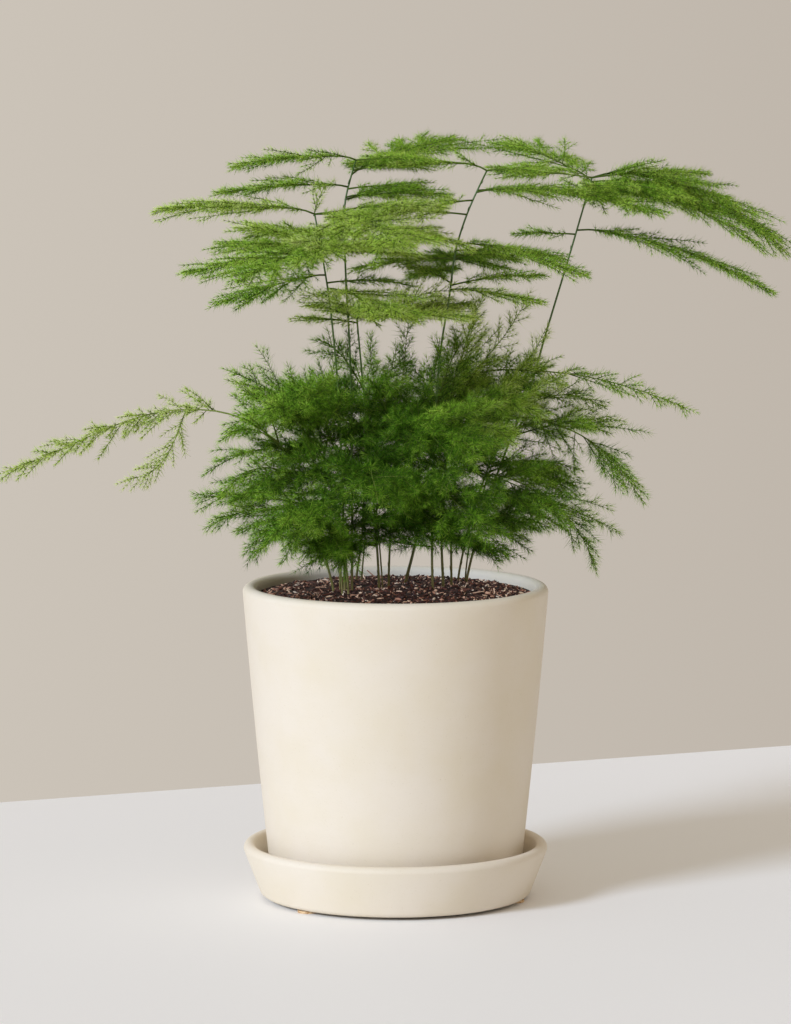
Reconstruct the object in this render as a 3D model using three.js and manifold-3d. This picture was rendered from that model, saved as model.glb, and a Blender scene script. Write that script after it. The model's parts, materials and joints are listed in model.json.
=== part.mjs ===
// Potted asparagus fern: a tapered stoneware pot on its saucer, filled with potting soil. From a
// root crown buried in the soil rise wiry canes, and the canes carry flat, feathery fronds.
// Millimetres, +Z up. The origin is on the table, under the centre of the pot. +X is to the right
// and +Y to the back of the plant as it is displayed.
import * as THREE from 'three';
import { mergeVertices } from 'three/addons/utils/BufferGeometryUtils.js';
import Module from 'manifold-3d';

// ---- driving dimensions -------------------------------------------------------------------------

const CLEARANCE = 0.3; // gap left between two pieces that touch
const TURNED_SEGMENTS = 48; // facets round the pot, the saucer and the soil

const FOOT_PAD = {
  radius: 5,
  thickness: 1.2,
  inset: 7, // from the edge of the saucer's underside to the pad's centre
  angles: [225, 345, 105], // degrees from +X
  segments: 24,
};

const POT = {
  height: 149.2,
  baseRadius: 62,
  rimRadius: 76.2,
  wall: 7,
  floor: 8,
  bulge: 0.5, // how far the side swells beyond a straight taper
  baseEdge: 3,
  drainRadius: 6,
};

const SAUCER = {
  height: 26.4,
  room: 3, // between the pot's foot and the saucer's inner wall
  flare: 7.8, // how far the rim stands out beyond the base
  wall: 6,
  floor: 6,
  baseEdge: 3, // rounding of the lower outer edge
};

const SOIL = {
  belowRim: 5, // from the pot's rim down to the soil at the wall
  crownRise: 4, // from the soil at the wall up to its centre
  ripple: 0.5,
};

const ROOT_CROWN = {
  halfLength: 50,
  halfWidth: 38,
  halfHeight: 10,
  centre: [3, 8],
  depth: 24, // from the soil at the wall down to the crown's centre
  lumps: 0.06, // share of the radius
};

const CANE = {
  sides: 6,
  rings: 11,
  baseRadius: 0.95,
  tipRadius: 0.6,
};

// Each cane rises from the root crown through these points, [x, y, z above the soil at the wall].
const CANES = [
  [[-25, -15, 0], [-28, -16, 100], [-33, -18, 152], [-39.5, -20, 190]],
  [[-21.5, -12, 0], [-22, -8, 109], [-25, -2, 173], [-24, 4, 204], [-19.5, 8, 215]],
  [[-23, -22, 0], [-26, -21, 30], [-38, -10, 83]],
  [[-20, 33, 0], [-17, 35, 24], [-14, 42, 88]],
  [[-30, -15, 0], [-34, -17, 18], [-46, -22, 55], [-57, -26, 78]],
  [[-8, -4, 0], [-9.5, -4, 29], [-15, -6, 93], [-19, -8, 138]],
  [[-3.5, 0, 0], [-3, -3, 20], [0, -8, 78]],
  [[4, 10, 0], [10, 11, 25], [20, 18, 83]],
  [[18.5, -8, 0], [18, -8, 31], [21.5, -6, 116], [27.5, -4, 154], [31, -2, 178], [45, 4, 210]],
  [[24, 5, 0], [23, 6, 30], [27, 8, 88]],
  [[28, 13, 0], [28, 15, 30], [35, 19, 106]],
  [
    [35, 30, 0], [41, 30, 25], [49, 31, 51], [58, 32, 75],
    [67, 33, 98], [74, 33, 123], [88, 34, 170], [98, 34, 205],
  ],
  [[31, 31, 0], [40, 35, 40], [56, 42, 83]],
];

const FROND = {
  segments: 13,
  stalk: 0.12, // share of the length that is bare
  stalkRadius: 0.65,
  halfThickness: 0.6,
  fullness: 0.55, // below 1, the widest place moves towards the stalk
  notch: 0.62, // width between two branchlets, as a share of the width at a branchlet
  tipRadius: 0.4,
  section: [[1, 0], [0, 1], [-1, 0], [0, -1]], // sharp-edged lens, in half widths and thicknesses
  room: [[1, 1], [-1, 1], [-1, -1], [1, -1]], // the space that a neighbour keeps clear of
  seat: 3, // the seated piece of a trimmed frond reaches this near to the cane's centre
};

// Each frond leaves its cane at a height above the soil at the wall, towards an azimuth in degrees
// from +X, and bends from its rise to its fall, in degrees above the horizon. bend is 1 where the
// pitch changes evenly, and more where it changes mostly near the cane.
const FRONDS = [
  // the layers at the top of the plant, left to right
  { cane: 1, height: 190, azimuth: 178, length: 80, width: 44, rise: 12, fall: -6 },
  { cane: 1, height: 169, azimuth: 189, length: 70, width: 38, rise: 0, fall: -10 },
  { cane: 1, height: 174, azimuth: 246, length: 96, width: 50, rise: 0, fall: -12 },
  { cane: 1, height: 160, azimuth: 214, length: 64, width: 40, rise: -2, fall: -16 },
  { cane: 1, height: 153, azimuth: 300, length: 72, width: 48, rise: 2, fall: -12 },
  { cane: 2, height: 215, azimuth: 184, length: 62, width: 40, rise: 12, fall: -14 },
  { cane: 2, height: 208, azimuth: 62, length: 108, width: 58, rise: 13, fall: 3 },
  { cane: 2, height: 203, azimuth: 192, length: 66, width: 36, rise: 2, fall: -6 },
  { cane: 2, height: 197, azimuth: 10, length: 54, width: 34, rise: 8, fall: -4 },
  { cane: 2, height: 186, azimuth: 286, length: 104, width: 54, rise: 6, fall: -12 },
  { cane: 2, height: 171, azimuth: 132, length: 92, width: 52, rise: 6, fall: -6 },
  { cane: 9, height: 210, azimuth: 168, length: 68, width: 40, rise: 18, fall: -8 },
  { cane: 9, height: 195, azimuth: 202, length: 76, width: 42, rise: -4, fall: -6 },
  { cane: 9, height: 174, azimuth: 354, length: 68, width: 36, rise: 2, fall: -24 },
  { cane: 9, height: 165, azimuth: 84, length: 92, width: 52, rise: 4, fall: -6 },
  { cane: 9, height: 152, azimuth: 350, length: 47, width: 28, rise: 0, fall: -12 },
  { cane: 12, height: 205, azimuth: 351, length: 110, width: 62, rise: 13, fall: -44 },
  { cane: 12, height: 179, azimuth: 356, length: 107, width: 38, rise: -1, fall: -29 },
  { cane: 9, height: 199, azimuth: 6, length: 76, width: 36, rise: 12, fall: -16 },
  { cane: 12, height: 202, azimuth: 121, length: 84, width: 50, rise: 24, fall: 4 },
  { cane: 12, height: 198, azimuth: 38, length: 82, width: 46, rise: 16, fall: -26 },
  { cane: 12, height: 193, azimuth: 306, length: 62, width: 38, rise: 10, fall: -14 },
  { cane: 6, height: 138, azimuth: 24, length: 62, width: 42, rise: 12, fall: 0 },
  // the two long arching shoots
  { cane: 5, height: 78, azimuth: 181, length: 150, width: 34, rise: 62, fall: -23, bend: 3.2 },
  { cane: 11, height: 106, azimuth: 357, length: 119, width: 32, rise: 15, fall: -24 },
  // the bush over the pot
  { cane: 5, height: 52, azimuth: 188, length: 60, width: 42, rise: 8, fall: -8 },
  { cane: 3, height: 83, azimuth: 170, length: 62, width: 44, rise: 52, fall: 16 },
  { cane: 3, height: 62, azimuth: 152, length: 78, width: 64, rise: 6, fall: -44 },
  { cane: 1, height: 44, azimuth: 207, length: 78, width: 60, rise: 6, fall: -46 },
  { cane: 3, height: 48, azimuth: 242, length: 74, width: 62, rise: 16, fall: -30 },
  { cane: 6, height: 63, azimuth: 272, length: 78, width: 66, rise: 18, fall: -26 },
  { cane: 7, height: 78, azimuth: 306, length: 84, width: 66, rise: 32, fall: -30 },
  { cane: 9, height: 52, azimuth: 293, length: 70, width: 58, rise: 10, fall: -36 },
  { cane: 10, height: 60, azimuth: 332, length: 84, width: 60, rise: 12, fall: -42 },
  { cane: 13, height: 83, azimuth: 344, length: 96, width: 58, rise: 12, fall: -62 },
  { cane: 13, height: 55, azimuth: 338, length: 88, width: 52, rise: 6, fall: -70 },
  { cane: 13, height: 70, azimuth: 12, length: 68, width: 46, rise: 30, fall: -4 },
  { cane: 8, height: 83, azimuth: 86, length: 92, width: 70, rise: 34, fall: -26 },
  { cane: 4, height: 88, azimuth: 138, length: 84, width: 66, rise: 20, fall: -30 },
  { cane: 10, height: 88, azimuth: 36, length: 72, width: 40, rise: 80, fall: 64 },
];

// ---- materials ----------------------------------------------------------------------------------

const finish = (color, roughness) => new THREE.MeshStandardMaterial({ color, roughness, metalness: 0 });

const stoneware = () => finish(0xe9e1cf, 0.62);
const cork = () => finish(0xd2ab84, 0.9);
const bark = () => finish(0x3a241b, 0.95);
const rhizome = () => finish(0x8a6a45, 0.85);
const caneGreen = () => finish(0x4f6f3c, 0.6);
const foliage = () => finish(0x4c8a2b, 0.7);

// ---- solids -------------------------------------------------------------------------------------

const wasm = await Module();
wasm.setup();

// A closed geometry as a solid that can be joined and cut.
function solidOf(geometry) {
  const bare = geometry.clone();
  bare.deleteAttribute('normal');
  bare.deleteAttribute('uv');
  const merged = mergeVertices(bare, 1e-4);
  return new wasm.Manifold(new wasm.Mesh({
    numProp: 3,
    vertProperties: new Float32Array(merged.attributes.position.array),
    triVerts: new Uint32Array(merged.index.array),
  }));
}

function geometryOf(solid) {
  const mesh = solid.getMesh();
  const geometry = new THREE.BufferGeometry();
  geometry.setAttribute('position', new THREE.BufferAttribute(mesh.vertProperties, 3));
  geometry.setIndex(new THREE.BufferAttribute(mesh.triVerts, 1));
  geometry.computeVertexNormals();
  return geometry;
}

// Skins equal rings of points, given in order, and closes the first and the last one.
function loft(rings) {
  const count = rings[0].length;
  const corners = rings.flat().flatMap((point) => point.toArray());
  const faces = [];
  for (let ring = 0; ring < rings.length - 1; ring++) {
    for (let i = 0; i < count; i++) {
      const here = ring * count + i;
      const next = ring * count + ((i + 1) % count);
      faces.push(here, next, next + count);
      faces.push(here, next + count, here + count);
    }
  }
  const last = (rings.length - 1) * count;
  for (let i = 1; i < count - 1; i++) {
    faces.push(0, i + 1, i);
    faces.push(last, last + i, last + i + 1);
  }
  const geometry = new THREE.BufferGeometry();
  geometry.setAttribute('position', new THREE.Float32BufferAttribute(corners, 3));
  geometry.setIndex(faces);
  return geometry;
}

// Turns a closed profile of [radius, height] points round the Z axis.
function turned(profile) {
  const points = profile.map(([radius, height]) => new THREE.Vector2(radius, height));
  return new THREE.LatheGeometry(points, TURNED_SEGMENTS).rotateX(Math.PI / 2);
}

// Points on an arc about a centre, from one angle to another in degrees.
function arc([x, y], radius, from, to, steps) {
  return Array.from({ length: steps + 1 }, (_, i) => {
    const angle = THREE.MathUtils.degToRad(from + ((to - from) * i) / steps);
    return [x + radius * Math.cos(angle), y + radius * Math.sin(angle)];
  });
}

// ---- levels that stack from the table up ----------------------------------------------------------

const saucerBase = FOOT_PAD.thickness + CLEARANCE;
const saucerFloor = saucerBase + SAUCER.floor;
const potBase = saucerFloor + CLEARANCE;
const potFloor = potBase + POT.floor;
const potRim = potBase + POT.height;
const soilLevel = potRim - SOIL.belowRim;
const crownLevel = soilLevel - ROOT_CROWN.depth;

// ---- radii that follow from the pot's foot ---------------------------------------------------------

const saucerWell = POT.baseRadius + SAUCER.room;
const saucerRadius = saucerWell + SAUCER.wall / 2;
const saucerRim = saucerRadius + SAUCER.flare;

// ---- pot, saucer and pads -------------------------------------------------------------------------

function footPad(angle) {
  const circle = saucerRadius - FOOT_PAD.inset;
  const direction = THREE.MathUtils.degToRad(angle);
  return new THREE.CylinderGeometry(FOOT_PAD.radius, FOOT_PAD.radius, FOOT_PAD.thickness, FOOT_PAD.segments)
    .rotateX(Math.PI / 2)
    .translate(circle * Math.cos(direction), circle * Math.sin(direction), FOOT_PAD.thickness / 2);
}

function saucer() {
  const lip = SAUCER.wall / 2;
  const top = saucerBase + SAUCER.height;
  return turned([
    [0, saucerFloor],
    [0, saucerBase],
    ...arc([saucerRadius - SAUCER.baseEdge, saucerBase + SAUCER.baseEdge], SAUCER.baseEdge, -90, 0, 3),
    ...arc([saucerRim - lip, top - lip], lip, 0, 180, 6),
    [saucerWell, saucerFloor + SAUCER.baseEdge],
    [saucerWell - SAUCER.baseEdge, saucerFloor],
    [0, saucerFloor],
  ]);
}

// The outer radius of the pot at a height above its base.
function potRadius(height) {
  const share = height / POT.height;
  const taper = POT.baseRadius + (POT.rimRadius - POT.baseRadius) * share;
  return taper + POT.bulge * Math.sin(Math.PI * share);
}

function pot() {
  const lip = POT.wall / 2;
  const side = [0.25, 0.5, 0.75].map((share) => share * POT.height);
  return turned([
    [POT.drainRadius, potBase],
    ...arc([potRadius(POT.baseEdge) - POT.baseEdge, potBase + POT.baseEdge], POT.baseEdge, -90, 0, 3),
    ...side.map((height) => [potRadius(height), potBase + height]),
    ...arc([POT.rimRadius - lip, potRim - lip], lip, 0, 180, 6),
    ...side.reverse().map((height) => [potRadius(height) - POT.wall, potBase + height]),
    [potRadius(POT.floor) - POT.wall, potFloor + POT.baseEdge],
    [potRadius(POT.floor) - POT.wall - POT.baseEdge, potFloor],
    [POT.drainRadius, potFloor],
    [POT.drainRadius, potBase],
  ]);
}

// ---- root crown and canes ---------------------------------------------------------------------------

// A flattened, lumpy ball, swollen by an allowance where it is used to cut its bed.
function rootCrown(allowance = 0) {
  const geometry = new THREE.SphereGeometry(1, 18, 10);
  const position = geometry.attributes.position;
  const point = new THREE.Vector3();
  for (let i = 0; i < position.count; i++) {
    point.fromBufferAttribute(position, i);
    const swell = 1 + ROOT_CROWN.lumps * Math.sin(7 * point.x + 2 * point.z) * Math.sin(6 * point.y);
    point.multiplyScalar(swell);
    position.setXYZ(i, point.x, point.y, point.z);
  }
  const { halfLength, halfWidth, halfHeight, centre } = ROOT_CROWN;
  return geometry
    .scale(halfLength + allowance, halfWidth + allowance, halfHeight + allowance)
    .translate(centre[0], centre[1], crownLevel);
}

// The curve of a cane, from inside the root crown to its tip.
function caneCurve(points) {
  const [[x, y]] = points;
  const root = new THREE.Vector3(x, y, crownLevel);
  const stations = points.map(([px, py, pz]) => new THREE.Vector3(px, py, soilLevel + pz));
  return new THREE.CatmullRomCurve3([root, ...stations]);
}

// A tapering rod along a cane's curve. An allowance makes it thicker and longer.
function cane(curve, allowance = 0) {
  const rings = [];
  for (let ring = 0; ring <= CANE.rings; ring++) {
    const share = ring / CANE.rings;
    const centre = curve.getPointAt(share);
    const along = curve.getTangentAt(share);
    if (ring === CANE.rings) centre.addScaledVector(along, allowance);
    const across = new THREE.Vector3(0, 1, 0).cross(along).normalize();
    const over = along.clone().cross(across);
    const radius = THREE.MathUtils.lerp(CANE.baseRadius, CANE.tipRadius, share) + allowance;
    rings.push(Array.from({ length: CANE.sides }, (_, i) => {
      const angle = (2 * Math.PI * i) / CANE.sides;
      return centre.clone()
        .addScaledVector(across, radius * Math.cos(angle))
        .addScaledVector(over, radius * Math.sin(angle));
    }));
  }
  return loft(rings);
}

// ---- fronds -----------------------------------------------------------------------------------------

// The point of a curve at a height, or its end where the height is above it.
function pointAtHeight(curve, height) {
  let low = 0;
  let high = 1;
  for (let i = 0; i < 30; i++) {
    const middle = (low + high) / 2;
    if (curve.getPointAt(middle).z < height) low = middle;
    else high = middle;
  }
  return curve.getPointAt(low);
}

// Half the width of a frond at a share of its length, without the notches.
function halfWidthAt(share, width) {
  const leafy = (share - FROND.stalk) / (1 - FROND.stalk);
  return leafy <= 0 ? 0 : (width / 2) * Math.sin(Math.PI * leafy ** FROND.fullness);
}

// A thin plate with a notched edge, arching in the upright plane of its azimuth. An allowance makes
// it thicker and wider, for cutting its neighbours clear of it.
function frond({ azimuth, length, width, rise, fall, bend = 1.3 }, start, allowance = 0) {
  const direction = THREE.MathUtils.degToRad(azimuth);
  const out = new THREE.Vector3(Math.cos(direction), Math.sin(direction), 0);
  const up = new THREE.Vector3(0, 0, 1);
  const across = up.clone().cross(out);
  const centre = start.clone();
  const rings = [];
  for (let ring = 0; ring <= FROND.segments; ring++) {
    const share = ring / FROND.segments;
    const pitch = THREE.MathUtils.degToRad(fall + (rise - fall) * (1 - share) ** bend);
    const along = out.clone().multiplyScalar(Math.cos(pitch)).addScaledVector(up, Math.sin(pitch));
    if (ring > 0) centre.addScaledVector(along, length / FROND.segments);
    const notch = ring % 2 ? 1 : FROND.notch;
    const least = ring === FROND.segments ? FROND.tipRadius : FROND.stalkRadius;
    const half = Math.max(halfWidthAt(share, width) * notch, least) + allowance;
    const thick = Math.min(FROND.halfThickness, least) + allowance;
    const over = along.clone().cross(across);
    const section = allowance > 0 ? FROND.room : FROND.section;
    rings.push(section.map(([side, level]) => centre.clone()
      .addScaledVector(across, side * half)
      .addScaledVector(over, level * thick)));
  }
  return loft(rings);
}

function boxesMeet(a, b) {
  const one = a.boundingBox();
  const two = b.boundingBox();
  return [0, 1, 2].every((axis) => one.min[axis] <= two.max[axis] && two.min[axis] <= one.max[axis]);
}

// Cuts a solid clear of the others near it.
function clearOf(solid, others) {
  const near = others.filter((other) => boxesMeet(solid, other));
  return near.reduce((left, other) => left.subtract(other), solid);
}

// The part of a frond that still hangs on its cane once its neighbours have been cut clear: the
// largest piece that reaches the cane.
function seatedPiece(solid, start) {
  const reach = (piece) => {
    const { vertProperties } = piece.getMesh();
    let nearest = Infinity;
    for (let i = 0; i < vertProperties.length; i += 3) {
      const point = new THREE.Vector3().fromArray(vertProperties, i);
      nearest = Math.min(nearest, point.distanceTo(start));
    }
    return nearest;
  };
  const seated = solid.decompose().filter((piece) => reach(piece) < FROND.seat);
  return seated.sort((a, b) => b.volume() - a.volume())[0];
}

// ---- soil ---------------------------------------------------------------------------------------------

function soil() {
  const inner = (height) => potRadius(height - potBase) - POT.wall - CLEARANCE;
  const low = potFloor + CLEARANCE;
  const edge = inner(soilLevel);
  const dome = [0.85, 0.65, 0.4, 0.2];
  const levels = [0.75, 0.5, 0.25].map((share) => potBase + share * POT.height);
  const geometry = turned([
    [0, low],
    [inner(potFloor) - POT.baseEdge, low],
    [inner(potFloor), low + POT.baseEdge],
    ...levels.reverse().map((height) => [inner(height), height]),
    [edge, soilLevel],
    ...dome.map((share) => [edge * share, soilLevel + SOIL.crownRise * (1 - share ** 2)]),
    [0, soilLevel + SOIL.crownRise],
  ]);
  const position = geometry.attributes.position;
  for (let i = 0; i < position.count; i++) {
    const [x, y, z] = [position.getX(i), position.getY(i), position.getZ(i)];
    if (z > soilLevel + CLEARANCE) position.setZ(i, z + SOIL.ripple * Math.sin(x / 6) * Math.cos(y / 8));
  }
  return geometry;
}

// ---- assembly -------------------------------------------------------------------------------------------

const group = new THREE.Group();

function add(name, geometry, material) {
  const mesh = new THREE.Mesh(geometry, material);
  mesh.name = name;
  group.add(mesh);
}

FOOT_PAD.angles.forEach((angle, i) => add(`foot_pad_${i + 1}`, footPad(angle), cork()));
add('saucer', saucer(), stoneware());
add('pot', pot(), stoneware());
add('root_crown', rootCrown(), rhizome());

const curves = CANES.map(caneCurve);
const crownRoom = solidOf(rootCrown(CLEARANCE));
const caneRooms = curves.map((curve) => solidOf(cane(curve, CLEARANCE)));
curves.forEach((curve, i) => {
  add(`cane_${i + 1}`, geometryOf(solidOf(cane(curve)).subtract(crownRoom)), caneGreen());
});

add('potting_soil', geometryOf(clearOf(solidOf(soil()), [crownRoom, ...caneRooms])), bark());

const frondRooms = [];
FRONDS.forEach((layout, i) => {
  const start = pointAtHeight(curves[layout.cane - 1], soilLevel + layout.height);
  const trimmed = clearOf(solidOf(frond(layout, start)), [...caneRooms, ...frondRooms]);
  add(`frond_${i + 1}`, geometryOf(seatedPiece(trimmed, start)), foliage());
  frondRooms.push(solidOf(frond(layout, start, CLEARANCE)));
});

export default group;
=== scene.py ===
"""Looks of the potted asparagus fern: a stoneware pot and saucer, bark soil, canes and feathery fronds."""

import json
import logging
import math
from dataclasses import dataclass, field
from enum import Enum
from typing import Any

import bpy
import numpy as np
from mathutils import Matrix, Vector, noise

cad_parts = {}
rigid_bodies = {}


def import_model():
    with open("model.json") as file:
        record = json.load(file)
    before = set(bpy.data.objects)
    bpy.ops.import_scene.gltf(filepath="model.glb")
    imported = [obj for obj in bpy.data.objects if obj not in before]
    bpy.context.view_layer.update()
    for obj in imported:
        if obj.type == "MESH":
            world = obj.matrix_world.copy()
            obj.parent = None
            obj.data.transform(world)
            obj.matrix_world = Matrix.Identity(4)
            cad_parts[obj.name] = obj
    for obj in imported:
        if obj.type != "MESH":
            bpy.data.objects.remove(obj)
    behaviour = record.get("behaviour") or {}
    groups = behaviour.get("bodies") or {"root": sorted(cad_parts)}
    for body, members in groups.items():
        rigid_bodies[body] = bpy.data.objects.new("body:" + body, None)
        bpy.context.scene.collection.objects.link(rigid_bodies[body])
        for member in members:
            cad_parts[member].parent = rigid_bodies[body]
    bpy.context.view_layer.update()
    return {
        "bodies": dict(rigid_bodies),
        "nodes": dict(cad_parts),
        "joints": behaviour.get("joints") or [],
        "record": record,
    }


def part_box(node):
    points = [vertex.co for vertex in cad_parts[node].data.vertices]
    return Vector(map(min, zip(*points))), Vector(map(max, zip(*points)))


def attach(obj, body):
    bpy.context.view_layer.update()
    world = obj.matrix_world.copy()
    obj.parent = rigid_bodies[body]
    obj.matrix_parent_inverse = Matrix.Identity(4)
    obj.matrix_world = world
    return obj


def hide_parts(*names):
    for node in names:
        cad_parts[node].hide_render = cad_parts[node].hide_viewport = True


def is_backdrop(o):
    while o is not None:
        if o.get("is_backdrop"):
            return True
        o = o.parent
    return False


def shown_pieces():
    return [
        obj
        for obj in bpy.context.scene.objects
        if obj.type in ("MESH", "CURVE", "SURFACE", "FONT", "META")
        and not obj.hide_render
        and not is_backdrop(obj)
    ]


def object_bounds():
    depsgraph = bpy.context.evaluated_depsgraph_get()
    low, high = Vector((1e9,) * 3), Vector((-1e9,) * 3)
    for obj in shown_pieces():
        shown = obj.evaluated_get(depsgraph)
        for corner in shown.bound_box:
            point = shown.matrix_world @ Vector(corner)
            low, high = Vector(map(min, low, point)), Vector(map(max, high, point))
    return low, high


LOG = logging.getLogger("potted_fern")
MM = 0.001
BAKE_MAP = "OFBake"

Colour = tuple[float, float, float, float]
Profile = list[tuple[float, float]]
Route = list[tuple[float, float, float]]
Row = np.ndarray


# ---------------------------------------------------------------- small helpers


def linear(code: str) -> Colour:
    """Turns an sRGB hex value into linear light.

    Args:
        code: Six hex digits, such as "EFE6D2".

    Returns:
        Red, green, blue and an alpha of 1.
    """
    parts = [int(code[i:i + 2], 16) / 255 for i in (0, 2, 4)]
    turned = [p / 12.92 if p <= 0.04045 else ((p + 0.055) / 1.055) ** 2.4 for p in parts]
    return (turned[0], turned[1], turned[2], 1.0)


def add_node(
    tree: bpy.types.NodeTree,
    kind: str,
    settings: dict[str, Any] | None = None,
    values: dict[str, Any] | None = None,
    links: dict[str, bpy.types.NodeSocket] | None = None,
    stops: list[tuple[float, str]] | None = None,
) -> bpy.types.Node:
    """Adds one node with its settings, values, links and colour stops.

    Args:
        tree: The node tree it goes in.
        kind: The node's type name.
        settings: Properties of the node itself.
        values: Values of its input sockets, by name or number.
        links: Output sockets that feed its inputs, by name or number.
        stops: Places and hex colours, where the node is a colour ramp.

    Returns:
        The new node.
    """
    node = tree.nodes.new(kind)
    for key, value in (settings or {}).items():
        setattr(node, key, value)
    for key, value in (values or {}).items():
        node.inputs[key].default_value = value
    for key, socket in (links or {}).items():
        tree.links.new(socket, node.inputs[key])
    if stops:
        ramp = node.color_ramp
        while len(ramp.elements) < len(stops):
            ramp.elements.new(1.0)
        for element, (place, code) in zip(ramp.elements, stops):
            element.position = place
            element.color = linear(code)
    return node


def new_material(name: str) -> tuple[bpy.types.Material, bpy.types.NodeTree]:
    """Makes an empty node material and returns it with its tree."""
    material = bpy.data.materials.new(name)
    material.use_nodes = True
    material.node_tree.nodes.clear()
    return material, material.node_tree


def clear_selection() -> None:
    """Deselects everything, as the frame comes in selected."""
    if bpy.context.mode != "OBJECT":
        bpy.ops.object.mode_set(mode="OBJECT")
    bpy.ops.object.select_all(action="DESELECT")


def pick(piece: bpy.types.Object) -> None:
    """Selects one object and makes it the active one."""
    clear_selection()
    piece.select_set(True)
    bpy.context.view_layer.objects.active = piece


def spin_profile(name: str, profile: Profile, steps: int, closed: bool = True) -> bpy.types.Object:
    """Turns a profile about the Z axis, as on a potter's wheel.

    Args:
        name: The new object's name.
        profile: Radius and height of each corner in millimetres, in order.
        steps: Number of steps round.
        closed: False where the profile starts and ends on the axis.

    Returns:
        A closed mesh with its normals outwards.
    """
    clear_selection()
    bpy.ops.mesh.primitive_circle_add(vertices=len(profile), radius=0.05, fill_type="NOTHING")
    piece = bpy.context.object
    piece.name = name
    for vertex, (radius, height) in zip(piece.data.vertices, profile):
        vertex.co = (radius * MM, 0.0, height * MM)
    if not closed:
        last = len(profile) - 1
        for edge in piece.data.edges:
            edge.select = set(edge.vertices) == {0, last}
        for vertex in piece.data.vertices:
            vertex.select = vertex.index in (0, last)
        bpy.ops.object.mode_set(mode="EDIT")
        bpy.ops.mesh.select_mode(type="EDGE")
        bpy.ops.mesh.delete(type="EDGE")
        bpy.ops.mesh.select_mode(type="VERT")
    else:
        bpy.ops.object.mode_set(mode="EDIT")
    bpy.ops.mesh.select_all(action="SELECT")
    bpy.ops.mesh.spin(steps=steps, angle=2 * math.pi, center=(0, 0, 0), axis=(0, 0, 1))
    bpy.ops.mesh.select_all(action="SELECT")
    bpy.ops.mesh.remove_doubles(threshold=2e-6)
    bpy.ops.mesh.normals_make_consistent(inside=False)
    bpy.ops.object.mode_set(mode="OBJECT")
    bpy.ops.object.shade_smooth()
    return piece


def arc(cx: float, cz: float, radius: float, start: float, end: float, steps: int) -> Profile:
    """Points of a rounded corner of a profile.

    Args:
        cx: Distance of its centre from the axis.
        cz: Height of its centre.
        radius: Its radius.
        start: Angle of the first point, in degrees.
        end: Angle of the last point, in degrees.
        steps: Number of steps between them.

    Returns:
        Its points in order.
    """
    angles = [math.radians(start + (end - start) * i / steps) for i in range(steps + 1)]
    return [(cx + radius * math.cos(a), cz + radius * math.sin(a)) for a in angles]


def settle(piece: bpy.types.Object, nodes: list[str], material: bpy.types.Material) -> None:
    """Dresses a piece, rides it on the plant and hides the solids it stands for.

    Args:
        piece: The finished piece.
        nodes: The CAD nodes it replaces.
        material: Its finish.
    """
    piece.data.materials.clear()
    piece.data.materials.append(material)
    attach(piece, "root")
    if nodes:
        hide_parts(*nodes)
    LOG.info("%s: %d faces", piece.name, len(piece.data.polygons))


def node_points(frame: dict[str, Any], name: str) -> Row:
    """The merged corners of a CAD node, in millimetres."""
    mesh = frame["nodes"][name].data
    flat = np.empty(len(mesh.vertices) * 3)
    mesh.vertices.foreach_get("co", flat)
    return np.unique((flat.reshape(-1, 3) / MM).round(3), axis=0)


def unit(rows: Row) -> Row:
    """Rows scaled to length 1."""
    return rows / np.maximum(np.linalg.norm(rows, axis=-1, keepdims=True), 1e-9)


def smooth_path(points: Row, count: int) -> Row:
    """A path through the points with evenly spaced steps, rounded as a Catmull-Rom curve.

    Args:
        points: Corners of the path.
        count: Number of points wanted.

    Returns:
        The finer path.
    """
    ends = np.vstack([2 * points[0] - points[1], points, 2 * points[-1] - points[-2]])
    place = np.linspace(0, len(points) - 1, count)
    i = np.clip(place.astype(int), 0, len(points) - 2)
    t = (place - i)[:, None]
    a, b, c, d = ends[i], ends[i + 1], ends[i + 2], ends[i + 3]
    return 0.5 * (2 * b + (c - a) * t + (2 * a - 5 * b + 4 * c - d) * t**2 + (3 * b - a - 3 * c + d) * t**3)


def points_at(path: Row, length: Row, stations: Row) -> Row:
    """Points of a path at given distances along it.

    Args:
        path: Its corners.
        length: Distance along it of each corner.
        stations: The distances wanted.

    Returns:
        A point for each distance.
    """
    return np.stack([np.interp(stations, length, path[:, i]) for i in range(3)], -1)


# ---------------------------------------------------------------- finishes


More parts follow.
